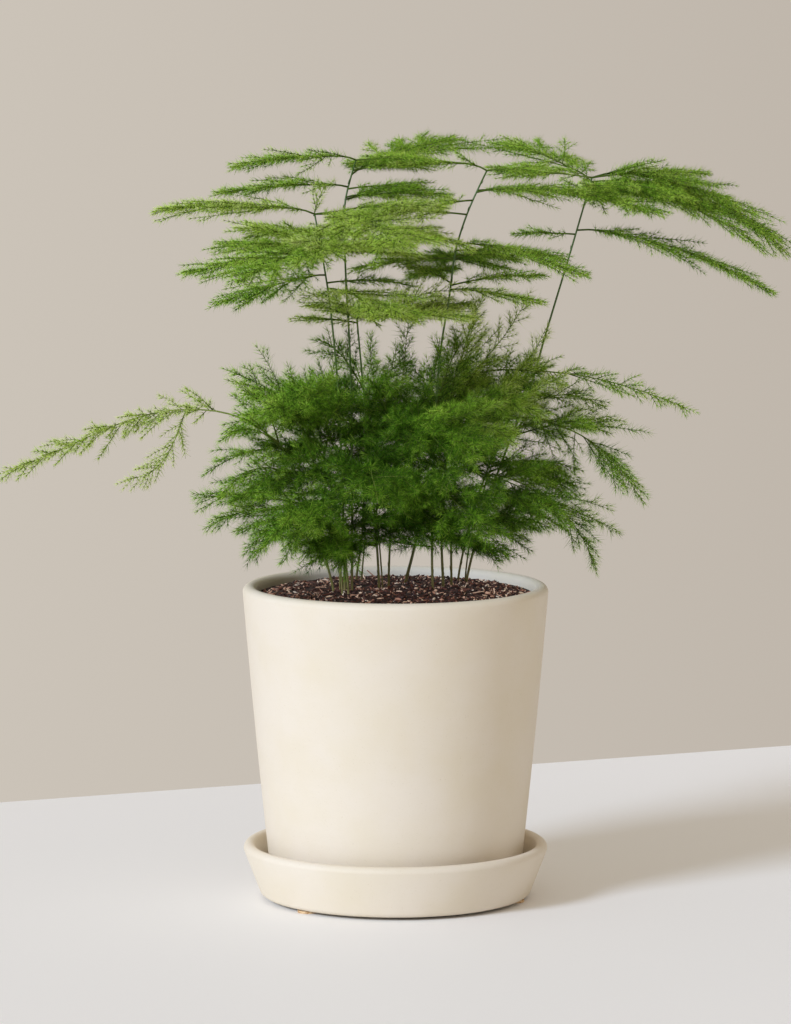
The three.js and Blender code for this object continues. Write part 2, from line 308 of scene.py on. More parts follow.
@dataclass(frozen=True)
class Stoneware:
    """Unglazed stoneware, turned and sanded: a matt cream clay with fine grit and faint cloudy patches."""

    light: str = "E5DAC8"
    dark: str = "E2D6BF"
    grit: str = "C9BA9C"
    roughness: float = 0.62

    def build(self) -> bpy.types.Material:
        """Clay whose colour drifts over a few centimetres, with grains of 0.7 mm in it."""
        material, tree = new_material("stoneware_matt")
        place = add_node(tree, "ShaderNodeTexCoord").outputs["Object"]
        cloud = add_node(
            tree, "ShaderNodeTexNoise", values={"Scale": 26.0, "Detail": 4.0, "Roughness": 0.55},
            links={"Vector": place})
        body = add_node(
            tree, "ShaderNodeValToRGB", links={"Fac": cloud.outputs["Fac"]},
            stops=[(0.32, self.dark), (0.62, self.light)])
        grain = add_node(
            tree, "ShaderNodeTexNoise", values={"Scale": 1400.0, "Detail": 2.0}, links={"Vector": place})
        speck = add_node(
            tree, "ShaderNodeMapRange", values={"From Min": 0.66, "From Max": 0.78, "To Max": 0.45},
            links={"Value": grain.outputs["Fac"]})
        colour = add_node(
            tree, "ShaderNodeMix", {"data_type": "RGBA"}, values={7: linear(self.grit)},
            links={0: speck.outputs[0], 6: body.outputs["Color"]})
        sand = add_node(
            tree, "ShaderNodeTexNoise", values={"Scale": 900.0, "Detail": 3.0}, links={"Vector": place})
        bands = add_node(
            tree, "ShaderNodeMapping", values={"Scale": (0.3, 0.3, 3.0)}, links={"Vector": place})
        wheel = add_node(
            tree, "ShaderNodeTexNoise", values={"Scale": 38.0, "Detail": 2.0},
            links={"Vector": bands.outputs[0]})
        fine = add_node(
            tree, "ShaderNodeBump", values={"Strength": 0.28, "Distance": 0.00022},
            links={"Height": sand.outputs["Fac"]})
        soft = add_node(
            tree, "ShaderNodeBump", values={"Strength": 0.35, "Distance": 0.0006},
            links={"Height": wheel.outputs["Fac"], "Normal": fine.outputs[0]})
        shader = add_node(
            tree, "ShaderNodeBsdfPrincipled",
            values={"Roughness": self.roughness, "Specular IOR Level": 0.35},
            links={"Base Color": colour.outputs[2], "Normal": soft.outputs[0]})
        add_node(tree, "ShaderNodeOutputMaterial", links={"Surface": shader.outputs[0]})
        return material


@dataclass(frozen=True)
class Cork:
    """Pressed cork disc: warm tan granules of about 1 mm with darker ones between, soft and dull."""

    light: str = "E2C49A"
    dark: str = "B58A5C"

    def build(self) -> bpy.types.Material:
        """Cells of 1.2 mm, each with its own tan."""
        material, tree = new_material("pressed_cork")
        place = add_node(tree, "ShaderNodeTexCoord").outputs["Object"]
        cells = add_node(tree, "ShaderNodeTexVoronoi", values={"Scale": 850.0}, links={"Vector": place})
        tan = add_node(
            tree, "ShaderNodeValToRGB", links={"Fac": cells.outputs["Color"]},
            stops=[(0.2, self.dark), (0.55, self.light)])
        bump = add_node(
            tree, "ShaderNodeBump", values={"Strength": 0.4, "Distance": 0.0002},
            links={"Height": cells.outputs["Distance"]})
        shader = add_node(
            tree, "ShaderNodeBsdfPrincipled", values={"Roughness": 0.85, "Specular IOR Level": 0.25},
            links={"Base Color": tan.outputs[0], "Normal": bump.outputs[0]})
        add_node(tree, "ShaderNodeOutputMaterial", links={"Surface": shader.outputs[0]})
        return material


@dataclass(frozen=True)
class BarkSoil:
    """Moist peat and composted bark: dark red brown, crumbly, with a dull glint on wet faces."""

    stops: tuple[tuple[float, str], ...] = (
        (0.25, "140A07"), (0.45, "26140D"), (0.6, "3D2216"), (0.74, "5A3524"))

    def build(self) -> bpy.types.Material:
        """Crumbs of 1 to 3 mm in the colour and in the bump."""
        material, tree = new_material("peat_and_bark")
        place = add_node(tree, "ShaderNodeTexCoord").outputs["Object"]
        crumbs = add_node(
            tree, "ShaderNodeTexNoise", values={"Scale": 420.0, "Detail": 5.0, "Roughness": 0.7},
            links={"Vector": place})
        brown = add_node(
            tree, "ShaderNodeValToRGB", links={"Fac": crumbs.outputs["Fac"]}, stops=list(self.stops))
        cells = add_node(tree, "ShaderNodeTexVoronoi", values={"Scale": 480.0}, links={"Vector": place})
        rough = add_node(
            tree, "ShaderNodeBump", values={"Strength": 0.9, "Distance": 0.0012},
            links={"Height": cells.outputs["Distance"]})
        shader = add_node(
            tree, "ShaderNodeBsdfPrincipled", values={"Roughness": 0.72, "Specular IOR Level": 0.4},
            links={"Base Color": brown.outputs[0], "Normal": rough.outputs[0]})
        add_node(tree, "ShaderNodeOutputMaterial", links={"Surface": shader.outputs[0]})
        return material


@dataclass(frozen=True)
class LooseBark:
    """Loose crumbs of bark, peat and straw on the soil: each bit has one colour, from near black to tan."""

    stops: tuple[tuple[float, str], ...] = (
        (0.0, "1F0E09"), (0.25, "462318"), (0.5, "6E3C2A"), (0.7, "9A6048"), (0.84, "CC9C7E"),
        (0.93, "E8C6A4"), (1.0, "FAEAD6"))

    def build(self) -> bpy.types.Material:
        """Reads each bit's own place in the colour range."""
        material, tree = new_material("loose_bark_bits")
        own = add_node(tree, "ShaderNodeUVMap", {"uv_map": BAKE_MAP})
        split = add_node(tree, "ShaderNodeSeparateXYZ", links={0: own.outputs[0]})
        tone = add_node(tree, "ShaderNodeValToRGB", links={"Fac": split.outputs[0]}, stops=list(self.stops))
        shader = add_node(
            tree, "ShaderNodeBsdfPrincipled", values={"Roughness": 0.6, "Specular IOR Level": 0.45},
            links={"Base Color": tone.outputs[0]})
        add_node(tree, "ShaderNodeOutputMaterial", links={"Surface": shader.outputs[0]})
        return material


@dataclass(frozen=True)
class Rhizome:
    """Woody root crown: dull straw brown skin with fine fibres and soil in its creases."""

    light: str = "A58A5E"
    dark: str = "4B3420"

    def build(self) -> bpy.types.Material:
        """Fibres of 1.5 mm along the crown."""
        material, tree = new_material("root_crown_skin")
        place = add_node(tree, "ShaderNodeTexCoord").outputs["Object"]
        fibre = add_node(
            tree, "ShaderNodeTexNoise", values={"Scale": 320.0, "Detail": 4.0}, links={"Vector": place})
        skin = add_node(
            tree, "ShaderNodeValToRGB", links={"Fac": fibre.outputs["Fac"]},
            stops=[(0.35, self.dark), (0.65, self.light)])
        bump = add_node(
            tree, "ShaderNodeBump", values={"Strength": 0.6, "Distance": 0.0006},
            links={"Height": fibre.outputs["Fac"]})
        shader = add_node(
            tree, "ShaderNodeBsdfPrincipled", values={"Roughness": 0.8},
            links={"Base Color": skin.outputs[0], "Normal": bump.outputs[0]})
        add_node(tree, "ShaderNodeOutputMaterial", links={"Surface": shader.outputs[0]})
        return material


@dataclass(frozen=True)
class CaneSkin:
    """Wiry green stem: a smooth, slightly waxed skin, pale and brownish at the soil and dark green above."""

    stops: tuple[tuple[float, str], ...] = (
        (0.0, "968C56"), (0.1, "727C3C"), (0.3, "567427"), (0.65, "43601F"), (1.0, "3F5E22"))

    def build(self, low: float, high: float) -> bpy.types.Material:
        """The colour climbs from the soil to the tip, with streaks of 0.8 mm along the stem.

        Args:
            low: Height of the soil in metres.
            high: Height of the tallest tip in metres.

        Returns:
            The finish.
        """
        material, tree = new_material("cane_skin")
        place = add_node(tree, "ShaderNodeTexCoord").outputs["Object"]
        split = add_node(tree, "ShaderNodeSeparateXYZ", links={0: place})
        streak = add_node(
            tree, "ShaderNodeTexNoise", values={"Scale": 240.0, "Detail": 3.0}, links={"Vector": place})
        climb = add_node(
            tree, "ShaderNodeMapRange", values={"From Min": low, "From Max": high},
            links={"Value": split.outputs[2]})
        drift = add_node(
            tree, "ShaderNodeMath", {"operation": "MULTIPLY_ADD"}, values={1: 0.16},
            links={0: streak.outputs["Fac"], 2: climb.outputs[0]})
        shift = add_node(
            tree, "ShaderNodeMath", {"operation": "SUBTRACT"}, values={1: 0.08}, links={0: drift.outputs[0]})
        skin = add_node(tree, "ShaderNodeValToRGB", links={"Fac": shift.outputs[0]}, stops=list(self.stops))
        shader = add_node(
            tree, "ShaderNodeBsdfPrincipled", values={"Roughness": 0.42, "Specular IOR Level": 0.5},
            links={"Base Color": skin.outputs[0]})
        add_node(tree, "ShaderNodeOutputMaterial", links={"Surface": shader.outputs[0]})
        return material


@dataclass(frozen=True)
class Foliage:
    """Needle leaves of asparagus fern: thin, matt, dark green when old and yellow green when young."""

    stops: tuple[tuple[float, str], ...] = (
        (0.0, "3C650E"), (0.17, "659820"), (0.34, "94C438"), (0.51, "BEE25A"), (0.68, "CDE65E"),
        (0.84, "E9F49C"), (0.855, "E9F49C"), (0.875, "466020"), (0.93, "768A3C"), (1.0, "B0B76C"))
    roughness: float = 0.62

    def build(self) -> bpy.types.Material:
        """Age runs across the leaf's map and base to tip runs up it; its far end holds the twig colours. Up
        the map each needle and twig is darkened at its base as painted shade and lightened towards its tip as
        painted light.
        """
        material, tree = new_material("fern_needles")
        own = add_node(tree, "ShaderNodeUVMap", {"uv_map": BAKE_MAP})
        split = add_node(tree, "ShaderNodeSeparateXYZ", links={0: own.outputs[0]})
        age = add_node(tree, "ShaderNodeValToRGB", links={"Fac": split.outputs[0]}, stops=list(self.stops))
        # Painted shade at the base of each needle and twig, turning to painted light at its tip: this ramp
        # multiplies the age colour.
        climb = add_node(
            tree, "ShaderNodeValToRGB", links={"Fac": split.outputs[1]},
            stops=[(0.0, "A9B294"), (0.4, "E6ECD8"), (1.0, "FFFFF2")])
        colour = add_node(
            tree, "ShaderNodeMix", {"data_type": "RGBA", "blend_type": "MULTIPLY"}, values={0: 1.0},
            links={6: age.outputs[0], 7: climb.outputs[0]})
        shader = add_node(
            tree, "ShaderNodeBsdfPrincipled",
            values={"Roughness": self.roughness, "Specular IOR Level": 0.14},
            links={"Base Color": colour.outputs[2]})
        add_node(tree, "ShaderNodeOutputMaterial", links={"Surface": shader.outputs[0]})
        return material


@dataclass(frozen=True)
class TableTop:
    """Painted board: a pale neutral satin with almost no texture."""

    colour: str = "F6F4F1"

    def build(self) -> bpy.types.Material:
        """A trace of roller texture keeps it from looking like plastic."""
        material, tree = new_material("painted_board")
        place = add_node(tree, "ShaderNodeTexCoord").outputs["Object"]
        roller = add_node(tree, "ShaderNodeTexNoise", values={"Scale": 500.0}, links={"Vector": place})
        bump = add_node(
            tree, "ShaderNodeBump", values={"Strength": 0.08, "Distance": 0.0002},
            links={"Height": roller.outputs["Fac"]})
        shader = add_node(
            tree, "ShaderNodeBsdfPrincipled",
            values={"Base Color": linear(self.colour), "Roughness": 0.6, "Specular IOR Level": 0.3},
            links={"Normal": bump.outputs[0]})
        add_node(tree, "ShaderNodeOutputMaterial", links={"Surface": shader.outputs[0]})
        return material


# ---------------------------------------------------------------- pot, saucer and pads


@dataclass
class Pot:
    """Tapered turned pot with a thick rounded lip and a drain hole."""

    base_radius: float = 62.0
    rim_radius: float = 76.2
    wall: float = 7.0
    floor: float = 8.0
    bulge: float = 0.5
    lip: float = 3.5
    drain: float = 6.0
    steps: int = 128

    def outer(self, share: float) -> float:
        """Outer radius at a share of the height."""
        taper = (self.rim_radius - self.base_radius) * share
        return self.base_radius + taper + self.bulge * math.sin(math.pi * share)

    def build(self, material: bpy.types.Material) -> bpy.types.Object:
        """Turns the wall, lip, floor and drain hole in one profile.

        Args:
            material: The clay.

        Returns:
            The pot.
        """
        low, high = (corner[2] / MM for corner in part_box("pot"))
        tall = high - low
        wall = [(self.outer(s), low + s * tall) for s in np.linspace(0.035, 0.93, 14)]
        centre = self.outer(0.975) - self.lip
        lip = arc(centre, high - self.lip, self.lip, 2, 178, 12)
        inner = [(self.outer(s) - self.wall, low + s * tall) for s in np.linspace(0.95, 0.14, 12)]
        bottom = self.outer(0.06) - self.wall
        cove = arc(bottom - 9, low + self.floor + 9, 9, -6, -90, 6)
        foot = arc(self.outer(0) - 3, low + 3, 3, -90, -8, 5)
        drain = [(self.drain, low + self.floor), (self.drain, low)]
        profile = foot + wall + lip + inner + cove + drain
        pot = spin_profile("pot_body", profile, self.steps)
        settle(pot, ["pot"], material)
        return pot


@dataclass
class Saucer:
    """Shallow turned dish that the pot stands in, with a soft thick rim."""

    base_radius: float = 68.0
    well_radius: float = 65.0
    rim_radius: float = 75.8
    floor: float = 6.0
    underside: float = 0.6
    steps: int = 128

    def build(self, material: bpy.types.Material) -> bpy.types.Object:
        """Turns the dish in one profile.

        Args:
            material: The clay.

        Returns:
            The saucer.
        """
        low, high = (corner[2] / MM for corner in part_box("saucer"))
        lean = math.degrees(math.atan2(self.rim_radius - self.base_radius, high - low))
        hollow = self.underside
        underside = [
            (0.0, low + hollow), (30.0, low + hollow),
            (self.base_radius - 9, low + 0.5), (self.base_radius - 7, low)]
        heel = arc(self.base_radius - 3.4, low + 3.4, 3.4, -90, -lean, 6)
        top = arc(self.rim_radius - 3.0, high - 3.0, 3.0, -lean * 0.4, 180 - lean, 12)
        well = low + self.floor
        cove = arc(self.well_radius - 4.0, well + 4.0, 4.0, -lean, -90, 6)
        dish = [(30.0, well), (0.0, well)]
        profile = underside + heel + top + cove + dish
        saucer = spin_profile("saucer_dish", profile, self.steps, closed=False)
        settle(saucer, ["saucer"], material)
        return saucer


@dataclass
class FootPads:
    """Three cork discs under the saucer, kept as the CAD made them."""

    count: int = 3

    def dress(self, frame: dict[str, Any], material: bpy.types.Material) -> None:
        """Gives each disc its cork."""
        for i in range(self.count):
            pad = frame["nodes"][f"foot_pad_{i + 1}"]
            pad.data.materials.clear()
            pad.data.materials.append(material)


# ---------------------------------------------------------------- repeated bits


@dataclass
class Template:
    """One small shape that is modelled once and then copied many times into a mesh."""

    points: Row
    faces: Row

    @classmethod
    def from_object(cls, piece: bpy.types.Object) -> "Template":
        """Takes the corners and triangles of a small object, then removes it."""
        mesh = piece.data
        mesh.calc_loop_triangles()
        points = np.array([v.co[:] for v in mesh.vertices])
        faces = np.array([t.vertices[:] for t in mesh.loop_triangles])
        bpy.data.objects.remove(piece)
        return cls(points, faces)

    @classmethod
    def needle(cls) -> "Template":
        """A three-sided spike of height 1 from the origin along Z, its base of radius 1."""
        clear_selection()
        bpy.ops.mesh.primitive_cone_add(vertices=3, radius1=1.0, radius2=0.0, depth=1.0, location=(0, 0, 0.5))
        bpy.ops.object.transform_apply(location=True)
        return cls.from_object(bpy.context.object)

    @classmethod
    def crumb(cls) -> "Template":
        """A rough lump of bark, about 1 across, flatter than it is wide."""
        clear_selection()
        bpy.ops.mesh.primitive_ico_sphere_add(subdivisions=1, radius=0.5)
        bpy.ops.object.mode_set(mode="EDIT")
        bpy.ops.transform.resize(value=(1.0, 0.7, 0.5))
        bpy.ops.object.mode_set(mode="OBJECT")
        return cls.from_object(bpy.context.object)

    @classmethod
    def straw(cls) -> "Template":
        """A flat sliver of straw 1 long, thinner at its ends."""
        clear_selection()
        bpy.ops.mesh.primitive_cube_add(size=1.0)
        bpy.ops.object.mode_set(mode="EDIT")
        bpy.ops.transform.resize(value=(1.0, 0.14, 0.07))
        bpy.ops.mesh.bevel(offset=0.02, segments=1)
        bpy.ops.object.mode_set(mode="OBJECT")
        return cls.from_object(bpy.context.object)


class MeshStore:
    """Collects blocks of corners, triangles and map places, and makes one mesh of them."""

    def __init__(self) -> None:
        """Starts empty."""
        self.points: list[Row] = []
        self.faces: list[Row] = []
        self.maps: list[Row] = []
        self.count = 0

    def add(self, points: Row, faces: Row, maps: Row) -> None:
        """Adds a block.

        Args:
            points: Corners in millimetres.
            faces: Triangles that count from the block's first corner.
            maps: Map place of each corner.
        """
        self.points.append(points)
        self.faces.append(faces + self.count)
        self.maps.append(maps)
        self.count += len(points)

    def copies(self, template: Template, shapes: Row, places: Row, tones: Row, lift: Row) -> None:
        """Adds many copies of one template.

        Args:
            template: The shape.
            shapes: A 3 by 3 matrix for each copy, its columns the template's axes.
            places: Where each copy's origin goes.
            tones: Each copy's place across the map.
            lift: Each template corner's place up the map, and its nudge across it.
        """
        n, k = len(places), len(template.points)
        points = np.einsum("nij,kj->nki", shapes, template.points) + places[:, None]
        faces = template.faces[None] + (np.arange(n) * k)[:, None, None]
        maps = np.empty((n, k, 2))
        maps[..., 0] = tones[:, None] + lift[None, :, 1]
        maps[..., 1] = lift[None, :, 0]
        self.add(points.reshape(-1, 3), faces.reshape(-1, 3), maps.reshape(-1, 2))

    def tube(self, path: Row, radii: Row, sides: int, tone: float) -> None:
        """Adds a closed tapering stem along a path.

        Args:
            path: Its centreline.
            radii: Radius at each point.
            sides: Corners round it.
            tone: Its place across the map.
        """
        k = len(path)
        run = unit(np.gradient(path, axis=0))
        guide = np.array([0.0, 0.0, 1.0]) if abs(run[k // 2][2]) < 0.8 else np.array([1.0, 0.0, 0.0])
        across = unit(np.cross(run, guide))
        over = np.cross(across, run)
        angle = np.arange(sides) * 2 * math.pi / sides
        ring = np.cos(angle)[None, :, None] * across[:, None] + np.sin(angle)[None, :, None] * over[:, None]
        points = path[:, None] + radii[:, None, None] * ring
        i, j = np.meshgrid(np.arange(k - 1), np.arange(sides), indexing="ij")
        a, b = i * sides + j, i * sides + (j + 1) % sides
        c, d = a + sides, b + sides
        first, second = np.stack([a, c, b], -1), np.stack([b, c, d], -1)
        sheets = np.concatenate([first.reshape(-1, 3), second.reshape(-1, 3)])
        fan = np.array([(0, m, m + 1) for m in range(1, sides - 1)])
        end = fan[:, ::-1] + (k - 1) * sides
        maps = np.empty((k, sides, 2))
        maps[..., 0] = tone + 0.004 * (np.arange(sides) / sides - 0.5)[None]
        maps[..., 1] = np.linspace(0.02, 0.96, k)[:, None] + 0.01 * (np.arange(sides) % 2)[None]
        self.add(points.reshape(-1, 3), np.concatenate([sheets, fan, end]), maps.reshape(-1, 2))

    def build(self, name: str) -> bpy.types.Object:
        """Makes the object, in metres, smooth shaded, with its own map.

        Args:
            name: The object's name.

        Returns:
            The object.
        """
        points = np.concatenate(self.points) * MM
        faces = np.concatenate(self.faces)
        maps = np.clip(np.concatenate(self.maps), 0.001, 0.999)
        mesh = bpy.data.meshes.new(name)
        mesh.vertices.add(len(points))
        mesh.vertices.foreach_set("co", points.ravel())
        mesh.loops.add(faces.size)
        mesh.loops.foreach_set("vertex_index", faces.ravel().astype(np.int32))
        mesh.polygons.add(len(faces))
        mesh.polygons.foreach_set("loop_start", np.arange(0, faces.size, 3, dtype=np.int32))
        mesh.update(calc_edges=True)
        mesh.polygons.foreach_set("use_smooth", np.ones(len(faces), dtype=bool))
        layer = mesh.uv_layers.new(name=BAKE_MAP)
        layer.data.foreach_set("uv", maps[faces.ravel()].ravel())
        piece = bpy.data.objects.new(name, mesh)
        bpy.context.scene.collection.objects.link(piece)
        return piece


# ---------------------------------------------------------------- soil


@dataclass
class PottingSoil:
    """Crowned bed of peat and bark with loose bits and straw on it."""

    edge_level: float = 152.0
    crown_rise: float = 4.0
    gap: float = 0.25
    crumbs: int = 5600
    straws: int = 60
    pale_share: float = 0.24
    seed: int = 11
    reach: float = field(init=False, default=0.0)

    def height(self, x: float, y: float) -> float:
        """Height of the bed at a place, with its lumps."""
        reach = min(1.0, math.hypot(x, y) / self.reach)
        lumps = 1.5 * noise.noise(Vector((x, y, 0.0)) * 0.055) + 0.8 * noise.noise(Vector((x, y, 9.0)) * 0.22)
        return self.edge_level + self.crown_rise * (1 - reach**2) + lumps * (1 - reach**6)

    def build(self, bed_material: bpy.types.Material, bit_material: bpy.types.Material) -> None:
        """Makes the bed and the loose bits.

        Args:
            bed_material: Finish of the bed.
            bit_material: Finish of the bits.
        """
        corner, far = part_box("potting_soil")
        low = corner[2] / MM
        self.reach = reach = (far[0] - corner[0]) / 2 / MM - 0.05
        top = [(reach * s, self.edge_level) for s in np.linspace(0.0, 1.0, 42)]
        pot = Pot()
        foot, rim = (place[2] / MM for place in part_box("pot"))
        deep = pot.outer((low - foot) / (rim - foot)) - pot.wall - self.gap
        under = [(deep, low + 1.0), (deep - 6, low), (0.0, low)]
        bed = spin_profile("soil_bed", top + under, 144, closed=False)
        for vertex in bed.data.vertices:
            if vertex.co.z > (self.edge_level - 1) * MM:
                x, y = vertex.co.x / MM, vertex.co.y / MM
                vertex.co.z = self.height(x, y) * MM
        bed.data.update()
        settle(bed, ["potting_soil"], bed_material)
        self.scatter(bit_material)

    def scatter(self, material: bpy.types.Material) -> None:
        """Strews crumbs of bark and slivers of straw over the bed.

        Args:
            material: Finish of the bits.
        """
        rng = np.random.default_rng(self.seed)
        store = MeshStore()
        crumb, straw = Template.crumb(), Template.straw()
        for template, count, sizes, tones in (
            (crumb, self.crumbs, (0.7, 2.8), None),
            (straw, self.straws, (3.0, 7.0), (0.7, 0.96)),
        ):
            reach = (self.reach - 2.0) * np.sqrt(rng.random(count))
            angle = rng.random(count) * 2 * math.pi
            x, y = reach * np.cos(angle), reach * np.sin(angle)
            if template is straw:
                near = rng.random(count) < 0.55
                left = rng.random(count) < 0.5
                x = np.where(near, np.where(left, -46, 44) + rng.normal(0, 7, count), x)
                y = np.where(near, np.where(left, -26, -18) + rng.normal(0, 7, count), y)
            z = np.array([self.height(a, b) for a, b in zip(x, y)])
            size = sizes[0] + (sizes[1] - sizes[0]) * rng.random(count) ** 2.2
            turns = unit(rng.normal(0, 1, (count, 3, 3)) * np.array([1.0, 1.0, 0.45])[None, None])
            u = turns[:, 0]
            w = unit(np.cross(u, turns[:, 1]))
            w *= np.sign(w[:, 2:3] + 1e-9)
            v = np.cross(w, u)
            stretch = rng.uniform(0.7, 1.3, (count, 3)) * size[:, None]
            if template is crumb:
                wide, deep = rng.uniform(0.9, 1.9, count), rng.uniform(0.4, 0.9, count)
                stretch *= np.stack([wide, deep, np.full(count, 0.7)], -1)
            else:
                stretch *= np.array([[1.0, 0.6, 0.6]])
            shapes = np.stack([u * stretch[:, :1], v * stretch[:, 1:2], w * stretch[:, 2:]], -1)
            if tones is None:
                is_pale = rng.random(count) < self.pale_share
                tone = np.where(is_pale, rng.uniform(0.68, 0.98, count), rng.beta(1.3, 2.6, count) * 0.68)
            else:
                tone = rng.uniform(*tones, count)
            places = np.stack([x, y, z + 0.1 * size], -1)
            k = len(template.points)
            lift = np.stack([0.1 + 0.8 * np.arange(k) / k, 0.003 * np.sin(np.arange(k) * 2.4)], -1)
            store.copies(template, shapes, places, tone, lift)
        bits = store.build("soil_bits")
        settle(bits, ["potting_soil"], material)
        pick(bits)
        bpy.ops.object.shade_flat()


# ---------------------------------------------------------------- canes


# Height that the thin young stems grow to, in millimetres.
SUCKER_TOP = 246.0


@dataclass
class Cane:
    """One wiry stem with small scale leaves at its joints."""

    number: int
    young: int = 0
    joint: float = 13.0
    bare_foot: float = 28.0
    slimming: float = 0.7

    def centreline(self, frame: dict[str, Any]) -> tuple[Row, Row]:
        """Finds the middle and the radius of the CAD cane at each of its rings.

        Args:
            frame: The loaded frame.

        Returns:
            Centres and radii from the bottom up, in millimetres.
        """
        points = node_points(frame, f"cane_{self.number}")
        points = points[np.argsort(points[:, 2])]
        cuts = np.flatnonzero(np.diff(points[:, 2]) > 2.0) + 1
        rings = np.split(points, cuts)
        centres = np.array([ring.mean(0) for ring in rings])
        radii = np.array([np.linalg.norm(ring - ring.mean(0), axis=1).mean() for ring in rings])
        return centres, radii

    def path(self, frame: dict[str, Any], count: int = 220) -> Row:
        """A fine centreline for whatever grows from the cane."""
        return smooth_path(self.centreline(frame)[0], count)

    def build(
        self, frame: dict[str, Any], needle: Template, material: bpy.types.Material,
    ) -> bpy.types.Object:
        """Draws the stem as a curve with a round section, then adds its scales.

        Args:
            frame: The loaded frame.
            needle: The spike that a scale is made from.
            material: The stem's skin.

        Returns:
            The cane.
        """
        centres, radii = self.centreline(frame)
        clear_selection()
        bpy.ops.curve.primitive_nurbs_path_add()
        curve = bpy.context.object
        curve.name = f"cane_{self.number}_stem"
        spline = curve.data.splines[0]
        path = smooth_path(centres, 30)
        spline.points.add(len(path) - len(spline.points))
        widths = np.interp(np.linspace(0, 1, len(path)), np.linspace(0, 1, len(radii)), radii)
        for point, place, width in zip(spline.points, path, widths):
            point.co = (*(place * MM), 1.0)
            point.radius = float(width) * self.slimming
        spline.use_endpoint_u = True
        spline.order_u = 4
        curve.data.resolution_u = 2
        curve.data.bevel_depth = MM
        curve.data.bevel_resolution = 2
        curve.data.use_fill_caps = True
        bpy.ops.object.convert(target="MESH")
        stem = bpy.context.object
        bpy.ops.object.mode_set(mode="EDIT")
        bpy.ops.mesh.select_all(action="SELECT")
        bpy.ops.mesh.remove_doubles(threshold=1e-6)
        bpy.ops.mesh.normals_make_consistent(inside=False)
        bpy.ops.object.mode_set(mode="OBJECT")
        scales = self.scales(path, widths, needle)
        clear_selection()
        scales.select_set(True)
        stem.select_set(True)
        bpy.context.view_layer.objects.active = stem
        bpy.ops.object.join()
        bpy.ops.object.shade_smooth()
        for layer in list(stem.data.uv_layers):
            stem.data.uv_layers.remove(layer)
        settle(stem, [f"cane_{self.number}"], material)
        return stem

    def scales(self, path: Row, widths: Row, needle: Template) -> bpy.types.Object:
        """Papery triangular scale leaves, one at each joint, pressed against the stem.

        Args:
            path: The stem's centreline.
            widths: Its radius along the path.
            needle: The spike they are made from.

        Returns:
            The scales as one object.
        """
        rng = np.random.default_rng(300 + self.number)
        length = np.concatenate([[0], np.cumsum(np.linalg.norm(np.diff(path, axis=0), axis=1))])
        joints = np.arange(self.bare_foot, length[-1] - 4, self.joint)
        stations = joints + rng.uniform(-2.5, 2.5, len(joints))
        places = points_at(path, length, stations)
        width = np.interp(stations, length, widths)
        ahead = points_at(path, length, stations + 1)
        run = unit(ahead - places)
        side = rng.normal(0, 1, (len(stations), 3))
        side = unit(side - (side * run).sum(1, keepdims=True) * run)
        tall = unit(run + 0.28 * side)
        flat = np.cross(tall, side)
        out = unit(np.cross(flat, tall))
        size = rng.uniform(1.8, 2.6, len(stations))
        shapes = np.stack([flat * 0.55 * (size / 2)[:, None], out * 0.3, tall * size[:, None]], -1)
        store = MeshStore()
        lift = np.array([(0.02, -0.003), (0.02, 0.003), (0.06, 0.0), (0.96, 0.0)])
        feet = places + side * (width * 0.6)[:, None]
        store.copies(needle, shapes, feet, np.full(len(stations), 0.5), lift)
        self.suckers(store, path, rng)
        return store.build(f"cane_{self.number}_scales")

    def suckers(self, store: MeshStore, path: Row, rng: np.random.Generator) -> None:
        """Thin young stems close beside a bushy cane, which lean on it in the leaves.

        Args:
            store: Where they go.
            path: The cane's centreline.
            rng: The cane's own random numbers.
        """
        low = path[path[:, 2] < SUCKER_TOP]
        for _ in range(self.young):
            angle, reach = rng.uniform(0, 2 * math.pi), rng.uniform(2.6, 5.6)
            part = low[: int(len(low) * rng.uniform(0.8, 1.0))]
            line = smooth_path(part, 14)
            t = np.linspace(0, 1, len(line))
            away = np.array([math.cos(angle), 0.6 * math.sin(angle), 0.0])
            line = line + away * (reach * (1 - t) ** 0.8 + 0.4 * np.sin(t * 9 + angle))[:, None]
            store.tube(line, np.linspace(0.5, 0.3, len(line)), 5, 0.5)


# ---------------------------------------------------------------- fronds


class Habit(Enum):
    """How a frond carries its branchlets."""

    PLUME = "flat level spray"
    BUSHY = "full, with branchlets all round"
    ARCHING = "long bare shoot with short side shoots"
    FOXTAIL = "long shoot with very short side shoots all along"


@dataclass(frozen=True)
class Growth:
    """Spacing, angles and lengths of one habit, in millimetres and degrees."""

    branch_gap: float
    branch_angle: float
    tilt: float
    twig_gap: float
    twig_share: float
    twig_most: float
    needle: float
    whorl_gap: float
    whorl: int
    droop: float
    thickness: float


GROWTH: dict[Habit, Growth] = {
    Habit.PLUME: Growth(
        branch_gap=4.6, branch_angle=43, tilt=11, twig_gap=4.0, twig_share=0.36, twig_most=8.5,
        needle=4.9, whorl_gap=2.25, whorl=5, droop=0.12, thickness=0.26),
    Habit.BUSHY: Growth(
        branch_gap=4.8, branch_angle=48, tilt=38, twig_gap=4.4, twig_share=0.40, twig_most=12.0,
        needle=6.2, whorl_gap=2.1, whorl=6, droop=0.20, thickness=0.22),
    Habit.ARCHING: Growth(
        branch_gap=3.8, branch_angle=50, tilt=40, twig_gap=4.0, twig_share=0.32, twig_most=6.0,
        needle=5.0, whorl_gap=2.0, whorl=6, droop=0.30, thickness=0.27),
    Habit.FOXTAIL: Growth(
        branch_gap=3.4, branch_angle=52, tilt=60, twig_gap=5.0, twig_share=0.0, twig_most=0.0,
        needle=5.0, whorl_gap=2.0, whorl=6, droop=0.12, thickness=0.27),
}
